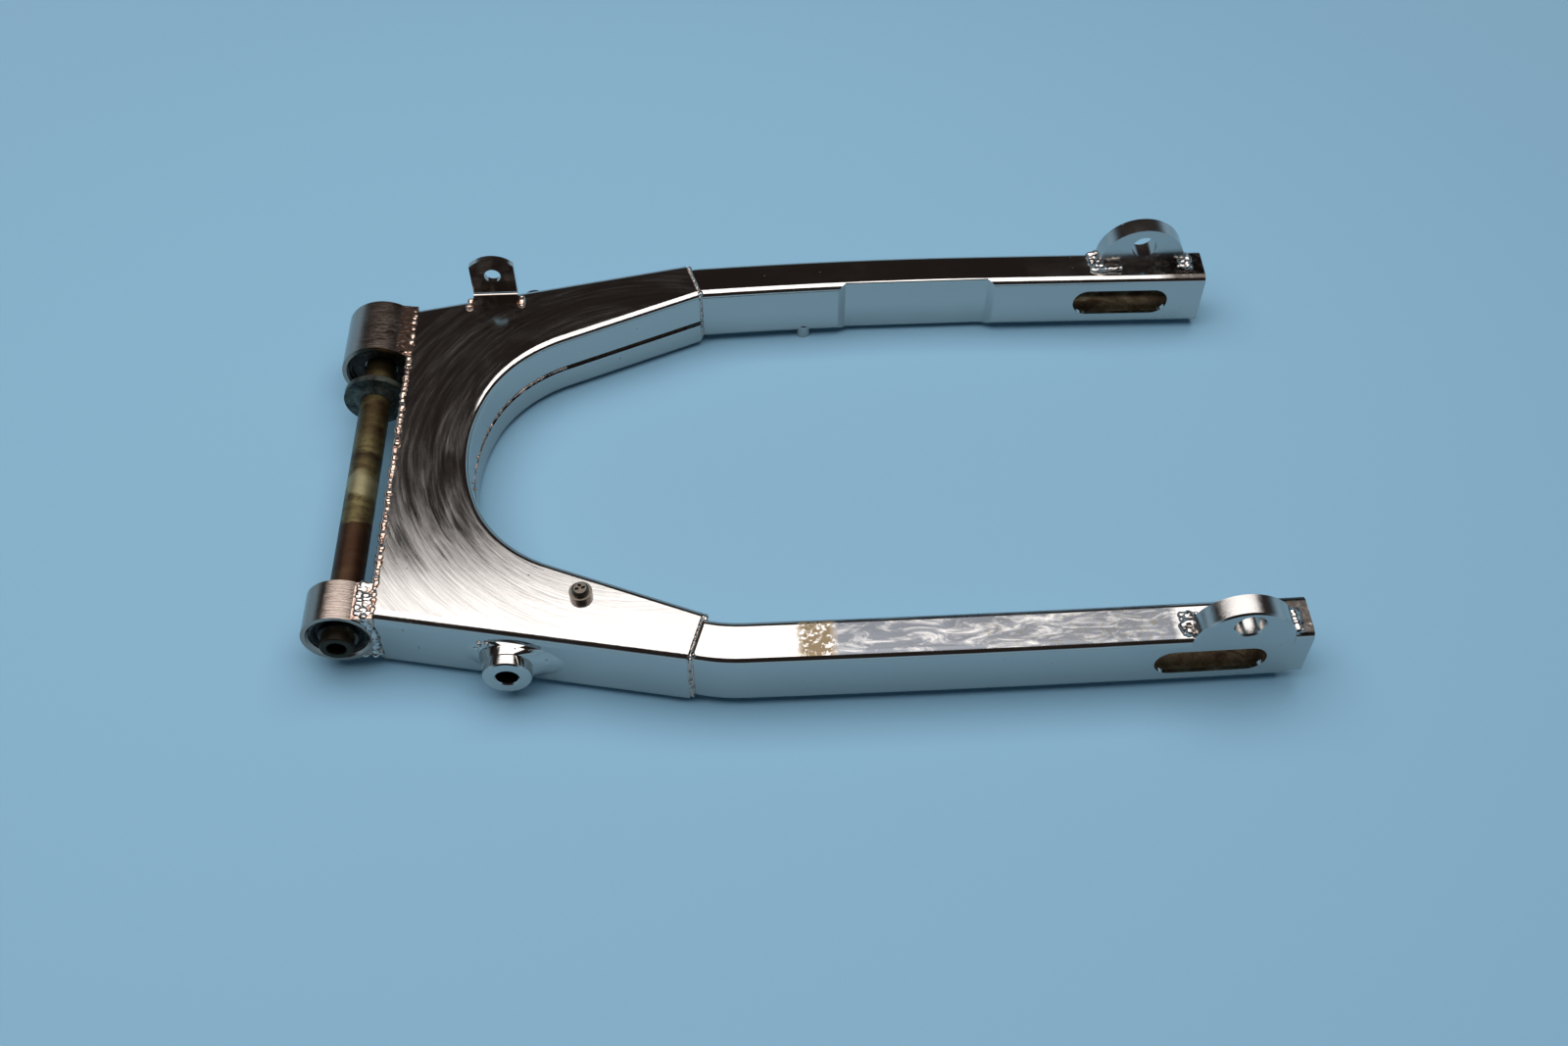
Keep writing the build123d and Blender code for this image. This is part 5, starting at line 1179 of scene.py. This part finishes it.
@dataclass
class Studio:
    """Floor, lights and camera of the photograph."""

    floor_z: float
    floor_colour: str = "#8fbad4"
    far_colour: str = "#93b7cd"
    ceiling_colour: str = "#2b2624"
    middle_m: Triple = (0.25, 0.0, 0.0)
    fade_m: tuple[float, float] = (0.6, 1.7)
    ceiling_rise: tuple[float, float] = (0.2, 0.36)
    lens_mm: float = 36.249
    sensor_mm: float = 36.0
    camera_mm: Triple = (218.969, -604.965, 695.931)
    pitch: float = 51.405
    yaw: float = 2.277
    roll: float = -0.234
    softbox_m: tuple[float, float] = (2.6, 1.8)
    softbox_place_m: Triple = (0.05, 0.10, 1.6)
    softbox_tilt: float = -10.0
    softbox_watts: float = 36.0

    def build(self) -> None:
        """Builds the stage in order."""
        bpy.context.scene.view_settings.view_transform = "Standard"
        self.build_camera()
        self.build_floor()
        self.build_light()

    def build_camera(self) -> None:
        """Places the camera where the photograph was taken from."""
        data = bpy.data.cameras.new("photo_camera")
        data.sensor_width = self.sensor_mm
        data.lens = self.lens_mm
        camera = bpy.data.objects.new("photo_camera", data)
        bpy.context.scene.collection.objects.link(camera)
        pitch, yaw, roll = (math.radians(angle) for angle in (self.pitch, self.yaw, self.roll))
        flat = math.cos(pitch)
        forward = Vector((math.sin(yaw) * flat, math.cos(yaw) * flat, -math.sin(pitch)))
        right = Vector((math.cos(yaw), -math.sin(yaw), 0))
        up = right.cross(forward)
        side = right * math.cos(roll) + up * math.sin(roll)
        top = up * math.cos(roll) - right * math.sin(roll)
        turned = Matrix((side, top, -forward)).transposed().to_4x4()
        camera.matrix_world = Matrix.Translation(Vector(self.camera_mm) * MM) @ turned
        bpy.context.scene.camera = camera

    def build_floor(self) -> None:
        """Lays a plain pale floor under the object."""
        bpy.ops.object.select_all(action="DESELECT")
        bpy.ops.mesh.primitive_plane_add(size=12.0, location=(0, 0, self.floor_z))
        floor = bpy.context.object
        floor.name = "studio_floor"
        # Matt paint, which past the object's shadow shows its own plain colour to the eye and in the chrome
        look = Look("studio_floor_paint", 0.0, 0.6)
        look.shader.inputs["Base Color"].default_value = linear(self.floor_colour)
        look.shader.inputs["Specular IOR Level"].default_value = 0.08
        away = look.add("VectorMath.DISTANCE", {1: self.middle_m}, {0: look.place}, "Value")
        near, far = self.fade_m
        share = look.add("MapRange", {"From Min": near, "From Max": far}, {"Value": away})
        path = look.add("LightPath", {}, {}).node.outputs
        rays = {0: path["Is Camera Ray"], 1: path["Is Glossy Ray"]}
        seen = look.add("Math.MAXIMUM", {}, rays)
        share = look.add("Math.MULTIPLY", {}, {0: share, 1: seen})
        glow = look.add("Emission", {"Color": linear(self.far_colour), "Strength": 1.0}, {})
        mixed = look.add("MixShader", {}, {0: share, 1: look.shader.outputs[0], 2: glow})
        look.tree.links.new(mixed, look.tree.nodes["Material Output"].inputs["Surface"])
        floor.data.materials.append(look.material)
        floor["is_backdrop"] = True

    def build_light(self) -> None:
        """Lights the object with a soft box overhead, under a dark ceiling with pale walls."""
        world = bpy.data.worlds.new("studio_world")
        world.use_nodes = True
        tree = world.node_tree
        way = add_node(tree, "TexCoord", {}, {}, "Generated")
        rise = add_node(tree, "SeparateXYZ", {}, {0: way}, 2)
        low, high = self.ceiling_rise
        over = add_node(tree, "MapRange", {"From Min": low, "From Max": high}, {"Value": rise})
        shades = {6: linear(self.far_colour), 7: linear(self.ceiling_colour)}
        room = add_node(tree, "Mix", {"data_type": "RGBA", **shades}, {0: over}, 2)
        tree.links.new(room, tree.nodes["Background"].inputs["Color"])
        tree.nodes["Background"].inputs["Strength"].default_value = 1.0
        bpy.context.scene.world = world
        light = bpy.data.lights.new("softbox", "AREA")
        light.shape = "RECTANGLE"
        light.size, light.size_y = self.softbox_m
        light.energy = self.softbox_watts
        lamp = bpy.data.objects.new("softbox", light)
        bpy.context.scene.collection.objects.link(lamp)
        lamp.location = self.softbox_place_m
        lamp.rotation_euler = (math.radians(self.softbox_tilt), 0, 0)


def main() -> None:
    """Builds each part of the scene in order and reports it."""
    logging.basicConfig(level=logging.INFO, format="%(message)s")
    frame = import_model()
    before = [list(corner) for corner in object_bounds()]
    Studio(floor_z=before[0][2]).build()
    bench = Bench(frame)
    for assembly in (
        Yoke(bench),
        Arm(bench, Side.LEFT),
        Arm(bench, Side.RIGHT),
        PivotEnd(bench, Side.LEFT, -118.5, -93.5, 19.7, ("bush_shell", "bush_rubber", "bush_sleeve")),
        PivotEnd(
            bench, Side.RIGHT, 77.5, 117.3, 22.8,
            ("cup_inner", "cup_outer", "cup_spacer", "lock_ring", "dust_shield"),
        ),
        PivotShaft(bench),
        BrakeAnchor(bench),
        GuardBracket(bench),
        SmallFittings(bench),
    ):
        assembly.build()
        LOG.info("built %s", type(assembly).__name__)


if __name__ == "__main__":
    main()
